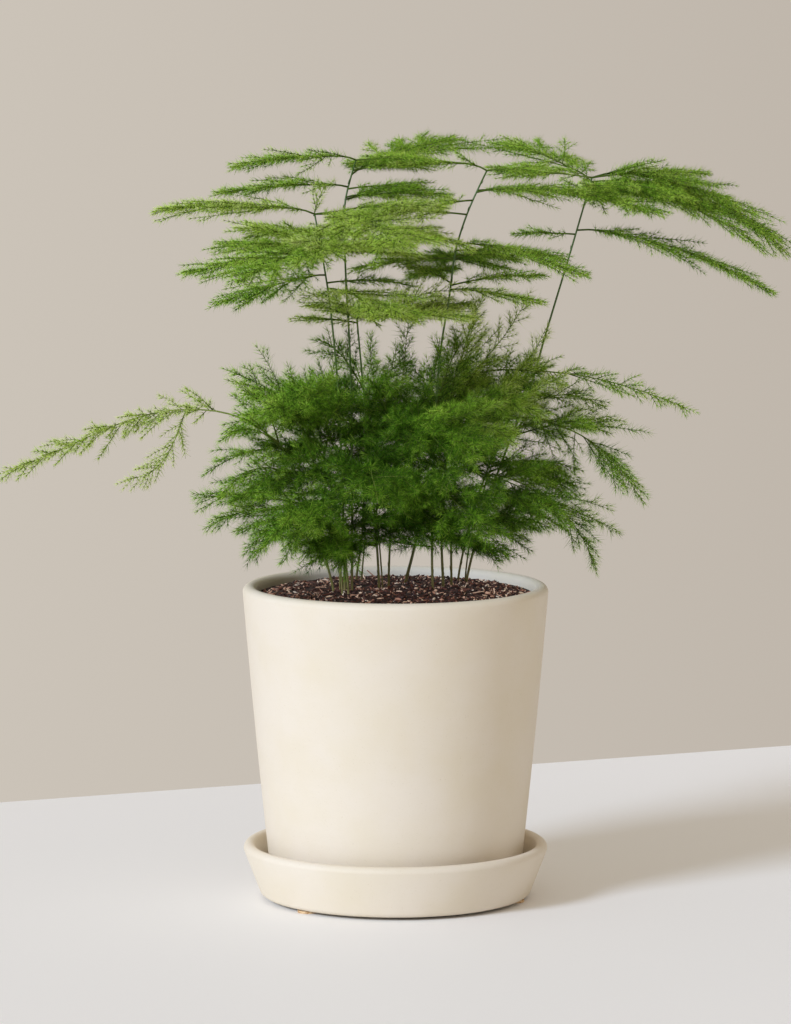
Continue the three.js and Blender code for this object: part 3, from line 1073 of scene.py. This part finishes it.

# All in millimetres: the height below which companion shoots hardly hang, the bush's middle height and its
# half width, half depth and half height for the painted light and shade on its leaves, how far inside the
# plant's box a shoot ends, how far past that its branchlets may reach, and the length over which leaves
# shorten towards a tip.
BUSH_FLOOR = 178.0
BUSH_MIDDLE = 235.0
BUSH_HALF = (95.0, 80.0, 90.0)
SHOOT_MARGIN = 9.0
TIP_ROOM = 13.0
TIP_TAPER = 7.0


@dataclass(frozen=True)
class Shoot:
    """A further shoot from the same cane, beside a frond's main stem.

    Its climb up the cane, length and half width are in millimetres, its turn and pitch in degrees, and its
    sag is a share of its length.
    """

    climb: float
    turn: float
    pitch: float
    length: float
    half: float
    sag: float

    def path(self, cane_path: Row, root: int, level: Row, room: Row) -> tuple[Row, Row]:
        """Works out its line.

        Args:
            cane_path: Centreline of the cane, in steps of about a millimetre.
            root: Where on it the frond starts.
            level: The frond's level heading.
            room: Lowest and highest corner that its tip may reach.

        Returns:
            The line and its level sideways direction.
        """
        want = max(cane_path[root][2] + self.climb, BUSH_FLOOR + 0.05 * self.turn)
        start = cane_path[int(np.abs(cane_path[:, 2] - want).argmin())]
        angle = math.atan2(level[1], level[0]) + math.radians(self.turn)
        heading = np.array([math.cos(angle), math.sin(angle), 0.0])
        slope = math.radians(self.pitch)
        t = np.linspace(0, 1, 46)[:, None]
        rise = self.length * (math.sin(slope) * t - self.sag * t**2)
        path = start + heading * self.length * math.cos(slope) * t + rise * np.array([[0.0, 0.0, 1.0]])
        reach = path - start
        ahead, behind = np.maximum(room[1] - start, 1), np.minimum(room[0] - start, -1)
        over = np.where(reach > 0, reach / ahead, reach / behind)
        path = start + reach / max(1.0, float(over.max()))
        low = path[:, 2] < BUSH_FLOOR
        path[low, 2] = BUSH_FLOOR - 0.25 * (BUSH_FLOOR - path[low, 2])
        return path, np.array([-heading[1], heading[0], 0.0])


@dataclass
class Frond:
    """One frond: a main stem with branchlets, twigs and whorls of needle leaves, and its companions."""

    number: int
    cane: int
    habit: Habit
    tone: float
    shoots: tuple[Shoot, ...] = ()
    sprigs: list[Route] = field(default_factory=list)
    stalk: float = 0.12
    stem_tone: float = 0.89
    share: float = 1.0

    def spine(self, frame: dict[str, Any], cane_path: Row) -> tuple[Row, float, Row, int]:
        """Finds the line that the CAD frond follows.

        Args:
            frame: The loaded frame.
            cane_path: Centreline of the cane it grows from.

        Returns:
            The spine from the cane to the tip, the greatest half width, the level heading, and the number
            of the cane's point that it leaves from.
        """
        points = node_points(frame, f"frond_{self.number}")
        gaps = np.linalg.norm(points[:, None] - cane_path[None], axis=2)
        index = int(np.unravel_index(gaps.argmin(), gaps.shape)[1])
        root = cane_path[index]
        tip = points[np.linalg.norm(points - root, axis=1).argmax()]
        level = np.array([*(tip - root)[:2], 0.0])
        level /= np.linalg.norm(level)
        side = np.array([-level[1], level[0], 0.0])
        flat = np.stack([(points - root) @ level, points[:, 2] - root[2]], -1)
        end = np.array([(tip - root) @ level, tip[2] - root[2]])
        reach = np.linalg.norm(end)
        run = end / reach
        rise = np.array([-run[1], run[0]])
        along, off = flat @ run / reach, flat @ rise
        shape = np.stack([along * (1 - along), along**2 * (1 - along)], -1)
        fit = np.linalg.lstsq(shape, off, rcond=None)[0]
        t = np.linspace(0, 1, 60)
        bow = fit[0] * t * (1 - t) + fit[1] * t**2 * (1 - t)
        plane = t[:, None] * reach * run[None] + bow[:, None] * rise[None]
        path = root + plane[:, :1] * level[None] + plane[:, 1:] * np.array([[0.0, 0.0, 1.0]])
        stem = unit(cane_path[index] - cane_path[max(0, index - 6)])
        top = index > len(cane_path) - 8
        start = t * np.clip(1 - t / 0.3, 0, 1) ** 2
        path = path + (start * reach * (0.3 if top else 0.14))[:, None] * stem[None]
        return path, float(np.abs((points - root) @ side).max()), level, index

    def build(
        self,
        frame: dict[str, Any],
        cane_path: Row,
        room: Row,
        needle: Template,
        material: bpy.types.Material,
    ) -> bpy.types.Object:
        """Grows the frond and makes one mesh of it.

        Args:
            frame: The loaded frame.
            cane_path: Centreline of its cane.
            room: Lowest and highest corner that the tip of a companion may reach.
            needle: The needle leaf.
            material: The foliage.

        Returns:
            The frond.
        """
        rng = np.random.default_rng(7000 + self.number * 13)
        path, half, level, index = self.spine(frame, cane_path)
        path, half = path[:int(len(path) * self.share)], half * self.share
        side = np.array([-level[1], level[0], 0.0])
        sway = np.linspace(0, 1, len(path))
        path = path + side * (1.3 * np.sin(sway * 7 + rng.uniform(0, 6)) * sway)[:, None]
        limits = room + np.array([[-TIP_ROOM], [TIP_ROOM]])
        plant = Grower(self.habit, rng, needle, self.tone, self.stem_tone, limits)
        plant.main_shoot(path, half, side, self.stalk)
        for shoot in self.shoots:
            line, across = shoot.path(cane_path, index, level, room)
            plant.main_shoot(line, shoot.half, across, 0.1)
        for sprig in self.sprigs:
            plant.sprig(np.array(sprig, float))
        piece = plant.finish(f"frond_{self.number}_spray")
        settle(piece, [f"frond_{self.number}"], material)
        return piece


class Grower:
    """Grows branchlets, twigs and needles along a main stem."""

    def __init__(
        self,
        habit: Habit,
        rng: np.random.Generator,
        needle: Template,
        tone: float,
        stem_tone: float,
        limits: Row,
    ) -> None:
        """Starts with an empty mesh.

        Args:
            habit: How it carries its branchlets.
            rng: The frond's own random numbers.
            needle: The needle leaf.
            tone: Age colour of its needles, from 0 old to 1 young.
            stem_tone: Colour of its stems.
            limits: Lowest and highest corner of the fern's space.
        """
        self.limits = limits
        self.habit, self.growth, self.rng, self.needle = habit, GROWTH[habit], rng, needle
        self.tone, self.stem_tone = tone, stem_tone
        self.store = MeshStore()
        self.whorls: list[Row] = []
        self.tints = np.random.default_rng(5)
        self.tint = 0.0

    def shoot(self, start: Row, heading: Row, length: float, bend: Row, steps: int) -> Row:
        """A curved path from a start, which leans towards bend as it goes."""
        t = np.linspace(0, 1, steps)[:, None]
        return start + length * (heading * t + 0.5 * bend * t**2)

    def leaves(self, path: Row, bare: float, tip_tone: float) -> None:
        """Sets whorls of needles along a path and a tuft at its end.

        Args:
            path: The twig.
            bare: Share of it without needles.
            tip_tone: How much younger its end is.
        """
        steps = np.linalg.norm(np.diff(path, axis=0), axis=1)
        length = np.concatenate([[0], np.cumsum(steps)])
        total = length[-1]
        spacing = self.growth.whorl_gap
        count = max(1, int(total * (1 - bare) / spacing))
        stations = total * bare + (np.arange(count) + self.rng.uniform(0.2, 0.8)) * spacing
        stations = np.minimum(stations, total)
        place = points_at(path, length, stations)
        back = points_at(path, length, np.maximum(stations - 0.8, 0))
        ahead = points_at(path, length, np.minimum(stations + 0.8, total))
        run = unit(ahead - back)
        near = np.clip((total - stations) / TIP_TAPER, 0, 1)
        size = (0.62 + 0.38 * near) * self.rng.uniform(0.85, 1.12, count)
        tone = self.tone + self.tint + tip_tone * (1 - near) + self.rng.normal(0, 0.06, count)
        lean = 0.4 + 0.6 * near
        self.whorls.append(np.column_stack([place, run, size, tone, lean]))

    def stem(self, path: Row, thick: float, thin: float, sides: int = 3) -> None:
        """Adds the woody part of a shoot."""
        tone = self.stem_tone + float(self.rng.uniform(0, 0.05))
        self.store.tube(path, np.linspace(thick, thin, len(path)), sides, tone)

    def outline(self, share: float) -> float:
        """Half width of a spray at a share of its leafy part, as a share of the greatest."""
        if self.habit is Habit.FOXTAIL:
            return 0.45 * (1 - share) ** 0.5 + 0.12
        fall = 1.15 if self.habit is Habit.BUSHY else 0.8
        return min(1.0, 0.4 + share / 0.24 * 0.6) * (1 - share) ** fall * 1.08 + 0.05

    def main_shoot(self, path: Row, half: float, side: Row, leafy: float) -> None:
        """Grows the main stem and everything on it.

        Args:
            path: The spine.
            half: Greatest half width.
            side: The level sideways direction.
            leafy: Share of it that is bare stalk.
        """
        growth, rng = self.growth, self.rng
        total = float(np.linalg.norm(np.diff(path, axis=0), axis=1).sum())
        self.stem(path[::3], 0.48, 0.16, 5)
        run = unit(np.gradient(path, axis=0))
        self.leaves(path[int(len(path) * 0.55):], 0.0, 0.1)
        count = int(total * (1 - leafy) / growth.branch_gap * 2)
        for i in range(count):
            share = (i + rng.uniform(-0.3, 0.3)) / count
            if share > 0.93:
                continue
            share = max(share, 0.0)
            at = (leafy + share * (1 - leafy)) * (len(path) - 1)
            k = min(int(at), len(path) - 2)
            start = path[k] + (path[k + 1] - path[k]) * (at - k)
            turn = 1 if i % 2 else -1
            tilt = math.radians(rng.normal(0, growth.tilt))
            up = np.cross(side, run[k]) * -1
            up = up if up[2] > 0 else -up
            out = turn * side * math.cos(tilt) + up * math.sin(tilt) * (1 if rng.random() < 0.6 else -1)
            angle = math.radians(growth.branch_angle + rng.normal(0, 9) - 10 * share)
            heading = unit(run[k] * math.cos(angle) + out * math.sin(angle))
            width = half * self.outline(share) * rng.uniform(0.72, 1.08)
            if rng.random() < 0.22:
                width *= 1.3
            if self.habit is Habit.ARCHING:
                width = (5 + 8 * (1 - share)) * rng.uniform(0.4, 1.25)
            left = (1 - share) * (1 - leafy) * total
            length = min(width / math.sin(angle), (left * 0.92 + 2) / (math.cos(angle) + 0.2))
            length = self.inside(start, heading, length)
            bend = run[k] * rng.uniform(0.15, 0.6) + side * rng.normal(0, 0.16)
            bend = bend - np.array([0, 0, growth.droop]) * rng.uniform(0.2, 1.8)
            self.tint = float(self.tints.normal(0, 0.1))
            self.branchlet(start, heading, length, bend, up)
        self.tint = 0.0

    def inside(self, start: Row, heading: Row, length: float) -> float:
        """Shortens a branchlet whose tip would leave the space that the fern takes up.

        Args:
            start: Where it leaves the main stem.
            heading: Its first direction.
            length: The length that it would have.

        Returns:
            The length that fits.
        """
        reach = heading * length
        space = np.where(reach > 0, self.limits[1] - start, self.limits[0] - start)
        space = np.where(reach > 0, np.maximum(space, 2.0), np.minimum(space, -2.0))
        over = float((reach / space).max())
        return length / max(1.0, over)

    def branchlet(self, start: Row, heading: Row, length: float, bend: Row, up: Row) -> None:
        """Grows one branchlet with its twigs.

        Args:
            start: Where it leaves the main stem.
            heading: Its first direction.
            length: Its length.
            bend: What it curves towards.
            up: The frond's upper side there.
        """
        growth, rng = self.growth, self.rng
        path = self.shoot(start, heading, length, bend, max(4, int(length / 4) + 2))
        self.stem(path, 0.2 + 0.004 * length, 0.1)
        self.leaves(path, 0.12, 0.14)
        if growth.twig_share <= 0 or length < 7:
            return
        run = unit(np.gradient(path, axis=0))
        stations = np.arange(length * 0.16, length * 0.88, growth.twig_gap)
        for m, station in enumerate(stations):
            at = station / length * (len(path) - 1)
            k = min(int(at), len(path) - 2)
            foot = path[k] + (path[k + 1] - path[k]) * (at - k)
            over = np.cross(run[k], up)
            over = over / max(np.linalg.norm(over), 1e-6) * (1 if m % 2 else -1)
            lift = math.radians(rng.normal(0, 14 + growth.tilt * 0.5))
            angle = math.radians(rng.normal(46, 7))
            out = over * math.cos(lift) + np.cross(over, run[k]) * math.sin(lift)
            twig = run[k] * math.cos(angle) + out * math.sin(angle)
            most = min(growth.twig_most, growth.twig_share * (length - station) + 2.2)
            size = most * rng.uniform(0.65, 1.1)
            if size < 2:
                continue
            curve = self.shoot(foot, twig, size, run[k] * 0.4 + np.array([0, 0, -0.1]), 3)
            self.stem(curve, 0.14, 0.08)
            self.leaves(curve, 0.15, 0.1)

    def sprig(self, points: Row) -> None:
        """Grows an extra side shoot along given points, with short branchlets.

        Args:
            points: Its route.
        """
        path = smooth_path(points, 24)
        total = float(np.linalg.norm(np.diff(path, axis=0), axis=1).sum())
        self.stem(path[::2], 0.3, 0.12, 4)
        self.leaves(path, 0.12, 0.34)
        run = unit(np.gradient(path, axis=0))
        for station in np.arange(total * 0.1, total * 0.93, 1.9):
            k = min(int(station / total * (len(path) - 1)), len(path) - 1)
            out = self.rng.normal(0, 1, 3)
            out = unit(out - (out @ run[k]) * run[k])
            heading = unit(run[k] * 0.7 + out * 0.75)
            length = min(5 + 12 * (1 - station / total), 0.42 * total) * self.rng.uniform(0.5, 1.1)
            twig = self.shoot(path[k], heading, length, run[k] * 0.5, 4)
            self.stem(twig, 0.16, 0.08)
            self.leaves(twig, 0.1, 0.34)

    def finish(self, name: str) -> bpy.types.Object:
        """Turns the whorls into needles and makes the mesh.

        Args:
            name: The object's name.

        Returns:
            The frond's object.
        """
        rng, growth = self.rng, self.growth
        rows = np.concatenate(self.whorls)
        # Painted light on the top and outside of the bush and painted shade in its core: the needles' tone
        # rises with height and with distance from the middle.
        if self.habit is Habit.BUSHY:
            wide, deep, tall = BUSH_HALF
            above = np.clip((rows[:, 2] - BUSH_MIDDLE) / tall, -0.2, 0.6)
            outside = np.hypot(rows[:, 0] / wide, rows[:, 1] / deep) + above
            rows[:, 7] += 0.34 * np.clip(outside - 0.62, -0.5, 0.8)
        n, per = len(rows), growth.whorl
        run = rows[:, 3:6]
        guide = np.where(np.abs(run[:, 2:3]) < 0.8, np.array([[0.0, 0.0, 1.0]]), np.array([[1.0, 0.0, 0.0]]))
        across = unit(np.cross(run, guide))
        over = np.cross(across, run)
        first = rng.uniform(0, 2 * math.pi, (n, 1))
        roll = first + np.arange(per)[None] * 2 * math.pi / per + rng.normal(0, 0.25, (n, per))
        lean = np.radians(rng.normal(51, 13, (n, per))) * rows[:, 8:9]
        out = np.cos(roll)[..., None] * across[:, None] + np.sin(roll)[..., None] * over[:, None]
        tall = unit(np.cos(lean)[..., None] * run[:, None] + np.sin(lean)[..., None] * out)
        length = growth.needle * rows[:, 6:7] * rng.uniform(0.78, 1.15, (n, per))
        flat = unit(np.cross(tall, out + 0.01))
        third = np.cross(tall, flat)
        radius = self.growth.thickness / 2 * (0.85 + 0.3 * rng.random((n, per)))
        shapes = np.stack([flat * radius[..., None], third * radius[..., None], tall * length[..., None]], -1)
        places = np.repeat(rows[:, None, :3], per, axis=1)
        # About one needle in seven is made much lighter as a painted highlight.
        pale = np.where(rng.random((n, per)) < 0.14, 0.26, 0.0)
        tone = np.clip(rows[:, 7:8] + pale + rng.normal(-0.03, 0.06, (n, per)), 0.01, 0.99) * 0.85
        lift = np.array([(0.02, -0.003), (0.02, 0.003), (0.06, 0.0), (0.96, 0.0)])
        self.store.copies(
            self.needle, shapes.reshape(-1, 3, 3), places.reshape(-1, 3), tone.reshape(-1), lift)
        return self.store.build(name)


@dataclass
class Plant:
    """The whole fern: canes, fronds and the root crown.

    The upper and bush fronds are listed as their number, the cane they grow from and their age tone; frond
    40's tone is raised as painted light.
    """

    canes: int = 13
    upper: tuple[tuple[int, int, float], ...] = (
        (1, 1, 0.74), (2, 1, 0.5), (3, 1, 0.5), (4, 1, 0.42), (5, 1, 0.72),
        (6, 2, 0.52), (7, 2, 0.5), (8, 2, 0.5), (9, 2, 0.5), (10, 2, 0.72), (11, 2, 0.55),
        (12, 9, 0.56), (13, 9, 0.74), (14, 9, 0.54), (15, 9, 0.46), (16, 9, 0.6), (19, 9, 0.5),
        (17, 12, 0.5), (18, 12, 0.46), (20, 12, 0.5), (21, 12, 0.5), (22, 12, 0.5), (23, 6, 0.76))
    bush: tuple[tuple[int, int, float], ...] = (
        (26, 5, 0.3), (27, 3, 0.3), (28, 3, 0.26), (29, 1, 0.24), (30, 3, 0.2), (31, 6, 0.2),
        (32, 7, 0.24), (33, 9, 0.22), (34, 10, 0.26), (35, 13, 0.3), (36, 13, 0.3), (37, 13, 0.3),
        # Frond 40's tone is set high as painted light, where the layers above shade it.
        (38, 8, 0.2), (39, 4, 0.2), (40, 10, 0.56))
    suckered: tuple[int, ...] = (1, 3, 4, 6, 8, 10, 13)
    short: tuple[int, ...] = (28, 29)
    tip: float = 0.37
    uprights: dict[int, list[Route]] = field(default_factory=lambda: {
        5: [[(-8, -6, 289), (-26, -24, 298), (-44, -34, 300)], [(-8, -6, 290), (8, -26, 300), (24, -38, 304)],
            [(-9, -6, 286), (-14, -30, 296), (-18, -52, 300)]],
        23: [[(-7, -3, 288), (14, -8, 302), (36, -14, 304)], [(-7, -3, 286), (-30, 6, 298), (-48, 12, 300)]],
        1: [[(-40, -19, 341), (-38, -18, 348), (-34, -17, 357)]],
        40: [[(27, 8, 240), (40, 12, 262), (56, 16, 282), (68, 20, 302)],
             [(27, 8, 235), (48, 8, 250), (66, 10, 268), (76, 12, 286)],
             [(26, 6, 240), (30, 2, 262), (38, 0, 284), (40, 0, 302)],
             [(30, 8, 232), (54, 4, 244), (74, 2, 256), (86, 0, 262)]],
        32: [[(0, -8, 230), (3, -6, 255), (5, -4, 275), (7, -2, 294)],
             [(2, -8, 232), (14, -12, 250), (20, -14, 268), (22, -14, 282)],
             [(0, -8, 232), (-8, -14, 250), (-12, -16, 268), (-12, -16, 284)]],
        27: [[(-38, -10, 235), (-34, -6, 252), (-30, -2, 268), (-27, 0, 280)]],
    })

    def fronds(self) -> list[Frond]:
        """Lists every frond with its habit and age."""
        level = [
            Frond(n, c, Habit.PLUME, t, self.beside(n), self.uprights.get(n, []), stalk=0.05)
            for n, c, t in self.upper]
        low = [
            Frond(n, c, Habit.BUSHY, t, self.around(n), self.uprights.get(n, []),
                  share=0.78 if n in self.short else 0.92)
            for n, c, t in self.bush]
        left = Frond(24, 5, Habit.ARCHING, 0.86, stem_tone=0.93, stalk=0.2,
                     sprigs=[[(-102, -26, 248), (-110, -29, 228), (-119, -31, 217), (-136, -34, 211)]])
        right = Frond(25, 11, Habit.FOXTAIL, 0.56, stalk=0.15)
        return level + low + [left, right]

    def beside(self, number: int) -> tuple[Shoot, ...]:
        """Smaller level sprays beside an upper frond, which fill the layer in depth."""
        rng = np.random.default_rng(40 + number)
        turns = {
            1: (165, -150), 2: (172,), 3: (30, 170), 4: (160,), 5: (44, -30, -80, 80, 10), 6: (176,),
            7: (-30,), 8: (170,), 9: (40,), 10: (30, -34, 62), 11: (30,), 12: (178,), 13: (-30,), 14: (26,),
            15: (-36, 60, 22), 16: (150, 30), 18: (178,), 19: (26,), 20: (-40, 36), 21: (-30,),
            22: (40, -36), 23: (60, -50, 140, 20, -160)}
        if number == 17:
            return (Shoot(-2, 9, 6, 106, 17, 0.42), Shoot(-5, -12, 4, 98, 17, 0.40),
                    Shoot(-8, 24, 6, 72, 17, 0.24), Shoot(-3, -32, 6, 66, 16, 0.2),
                    Shoot(0, 0, 9, 60, 16, 0.12))
        spread = {
            3: (0, 8), 5: (15, 12), 10: (0, 8), 11: (0, 8), 13: (0, 7), 16: (0, 8), 23: (6, 13)}
        high, deep = spread.get(number, (0, 5))
        reach = 0.8 if number == 1 else 1.0
        shoots = []
        for turn in turns.get(number, ()):
            ahead = abs(turn) < 120
            shoots.append(Shoot(
                climb=high + rng.uniform(-deep, deep),
                turn=turn + rng.uniform(-8, 8),
                pitch=rng.uniform(0, 16 + 0.6 * deep),
                length=reach * (rng.uniform(46, 68) if ahead else rng.uniform(28, 44)),
                half=rng.uniform(14, 19) if ahead else rng.uniform(9, 13),
                sag=rng.uniform(0.06, 0.2)))
        return tuple(shoots)

    def around(self, number: int) -> tuple[Shoot, ...]:
        """Further shoots all round a bushy cane, low and high, so that they close into one cloud."""
        rng = np.random.default_rng(90 + number)
        plan = (
            (-38, 8, 24, 36), (-24, 16, 36, 50), (-10, 18, 42, 62),
            (6, 30, 54, 62), (22, 44, 68, 58), (40, 56, 76, 52))
        turns = rng.permutation((-100, -62, -26, 22, 60, 104))
        shoots = [
            Shoot(float(climb), turn + rng.uniform(-14, 14), rng.uniform(low, high),
                  reach * rng.uniform(0.85, 1.12), rng.uniform(14, 19), rng.uniform(0.3, 0.55))
            for turn, (climb, low, high, reach) in zip(turns, plan)]
        outer = {
            (26, 27, 28, 29): ((6, 34),),
            (34, 35, 36, 37): ((-34, 16), (0, 34))}
        inner = (30, 31, 32, 33, 38, 39)
        for fronds, starts in outer.items():
            if number in fronds:
                shoots += [
                    Shoot(climb, turn + rng.uniform(-12, 12), rng.uniform(16, 40), rng.uniform(52, 72), 17,
                          rng.uniform(0.5, 0.75))
                    for climb, turn in starts]
        if number in inner:
            starts = (
                (-46, 10), (-44, -120), (-30, 40), (-22, 150), (-16, -30), (-8, -140),
                (-2, 20), (6, 120), (12, -14), (20, -110), (28, 170))
            shoots += [
                Shoot(climb, turn + rng.uniform(-10, 10), rng.uniform(6, 34), rng.uniform(30, 50), 18, 0.35)
                for climb, turn in starts]
        return tuple(shoots)

    def build(self, frame: dict[str, Any]) -> None:
        """Builds the canes and fronds and dresses the root crown.

        Args:
            frame: The loaded frame.
        """
        needle = Template.needle()
        skin = CaneSkin().build(PottingSoil.edge_level * MM, self.tip)
        leaf = Foliage().build()
        paths: dict[int, Row] = {}
        room = np.array(box_lists(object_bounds())) / MM + np.array([[SHOOT_MARGIN], [-SHOOT_MARGIN]])
        for number in range(1, self.canes + 1):
            cane = Cane(number, young=1 if number in self.suckered else 0)
            paths[number] = cane.path(frame)
            cane.build(frame, needle, skin)
        for frond in self.fronds():
            frond.build(frame, paths[frond.cane], room, needle, leaf)
        crown = frame["nodes"]["root_crown"]
        crown.data.materials.clear()
        crown.data.materials.append(Rhizome().build())


# ---------------------------------------------------------------- studio


@dataclass
class Studio:
    """Pale table in front of an evenly lit warm grey room, a soft key light and the camera."""

    lens: float = 182.8
    distance: float = 2.578
    elevation: float = 6.7
    aim: float = 0.1931
    table_half: float = 2.2
    table_front: float = 3.4
    edge_place: tuple[float, float] = (-0.218, 0.272)
    edge_slope: float = 0.4324
    key_round: float = 46.0
    key_lift: float = 27.0
    key_softness: float = 16.0
    key_energy: float = 2.6
    key_colour: tuple[float, float, float] = (0.70, 0.81, 1.0)

    def build(self) -> None:
        """Builds the table, the light and the camera."""
        self.table()
        self.room()
        self.lights()
        self.camera()

    def table(self) -> None:
        """A board whose far edge lies a little behind the pot, turned by 23 degrees."""
        clear_selection()
        bpy.ops.mesh.primitive_plane_add(size=2.0)
        board = bpy.context.object
        board.name = "table_top"
        half = self.table_half
        near = [(-half, -self.table_front), (half, -self.table_front)]
        edge_x, edge_y = self.edge_place
        far = [(x, edge_y + (x - edge_x) * self.edge_slope) for x in (-half, half)]
        for vertex, place in zip(board.data.vertices, near + far):
            vertex.co = (*place, 0.0)
        bpy.ops.object.mode_set(mode="EDIT")
        bpy.ops.mesh.select_all(action="SELECT")
        bpy.ops.mesh.extrude_region_move(TRANSFORM_OT_translate={"value": (0, 0, -0.03)})
        bpy.ops.mesh.select_all(action="SELECT")
        bpy.ops.mesh.normals_make_consistent(inside=False)
        bpy.ops.mesh.bevel(offset=0.0015, segments=3)
        bpy.ops.object.mode_set(mode="OBJECT")
        board.data.materials.append(TableTop().build())
        board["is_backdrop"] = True

    def room(self) -> None:
        """An even warm grey all round, slightly darker to the right."""
        world = bpy.data.worlds.new("warm_grey_room")
        world.use_nodes = True
        tree = world.node_tree
        tree.nodes.clear()
        way = add_node(tree, "ShaderNodeTexCoord").outputs["Generated"]
        split = add_node(tree, "ShaderNodeSeparateXYZ", links={0: way})
        ramp = add_node(
            tree, "ShaderNodeMapRange", values={"From Min": -0.09, "From Max": 0.09},
            links={"Value": split.outputs[0]})
        wall = add_node(
            tree, "ShaderNodeValToRGB", links={"Fac": ramp.outputs[0]},
            stops=[(0.0, "CCC4B9"), (1.0, "BFB6AB")])
        glow = add_node(
            tree, "ShaderNodeBackground", values={"Strength": 1.0}, links={"Color": wall.outputs[0]})
        add_node(tree, "ShaderNodeOutputWorld", links={"Surface": glow.outputs[0]})
        bpy.context.scene.world = world

    def lights(self) -> None:
        """A soft cool key from the front left, and a twin for the pot and soil that the leaves let through.

        Real needles are thin and pass much of the light on, and these are solid.
        """
        ware = bpy.data.collections.new("pot_and_soil")
        rest = bpy.data.collections.new("all_but_pot_and_soil")
        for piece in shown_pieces():
            if piece.name in ("pot_body", "saucer_dish", "soil_bed", "soil_bits"):
                ware.objects.link(piece)
                rest.objects.link(piece)
        for entry in rest.collection_objects:
            entry.light_linking.link_state = "EXCLUDE"
        self.key("soft_key").light_linking.receiver_collection = rest
        through = self.key("soft_key_through_leaves")
        through.light_linking.receiver_collection = ware
        through.light_linking.blocker_collection = ware

    def key(self, name: str) -> bpy.types.Object:
        """A sun as soft as a large window, round to the left and some way up.

        Args:
            name: The light's name.

        Returns:
            The light.
        """
        clear_selection()
        bpy.ops.object.light_add(type="SUN", location=(-1.4, -1.7, 1.5))
        key = bpy.context.object
        key.name = name
        key.data.angle = math.radians(self.key_softness)
        key.data.energy = self.key_energy
        key.data.color = self.key_colour
        around, lift = math.radians(self.key_round), math.radians(self.key_lift)
        level = math.cos(lift)
        away = Vector((-math.sin(around) * level, -math.cos(around) * level, math.sin(lift)))
        key.rotation_euler = away.to_track_quat("Z", "Y").to_euler()
        return key

    def camera(self) -> None:
        """A long lens a little above the rim, level with the fern."""
        clear_selection()
        lift = math.radians(self.elevation)
        place = (0.0, -self.distance * math.cos(lift), self.aim + self.distance * math.sin(lift))
        bpy.ops.object.camera_add(location=place)
        camera = bpy.context.object
        camera.name = "front_camera"
        camera.data.lens = self.lens
        camera.data.sensor_width = 36.0
        self.point(camera, Vector((0, 0, self.aim)))
        bpy.context.scene.camera = camera

    def point(self, thing: bpy.types.Object, target: Vector) -> None:
        """Turns a light or camera to look at a place."""
        thing.rotation_euler = (target - thing.location).to_track_quat("-Z", "Y").to_euler()


def box_lists(corners: Any) -> list[list[float]]:
    """A box as plain lists of numbers."""
    return [[float(v) for v in corner] for corner in corners]


def main() -> None:
    """Loads the frame, builds each part of the object in order and clears the selection."""
    logging.basicConfig(level=logging.INFO, format="%(message)s")
    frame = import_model()
    scene = bpy.context.scene
    scene.view_settings.view_transform = "Standard"
    clay = Stoneware().build()
    Saucer().build(clay)
    Pot().build(clay)
    FootPads().dress(frame, Cork().build())
    PottingSoil().build(BarkSoil().build(), LooseBark().build())
    Plant().build(frame)
    Studio().build()
    clear_selection()


if __name__ == "__main__":
    main()
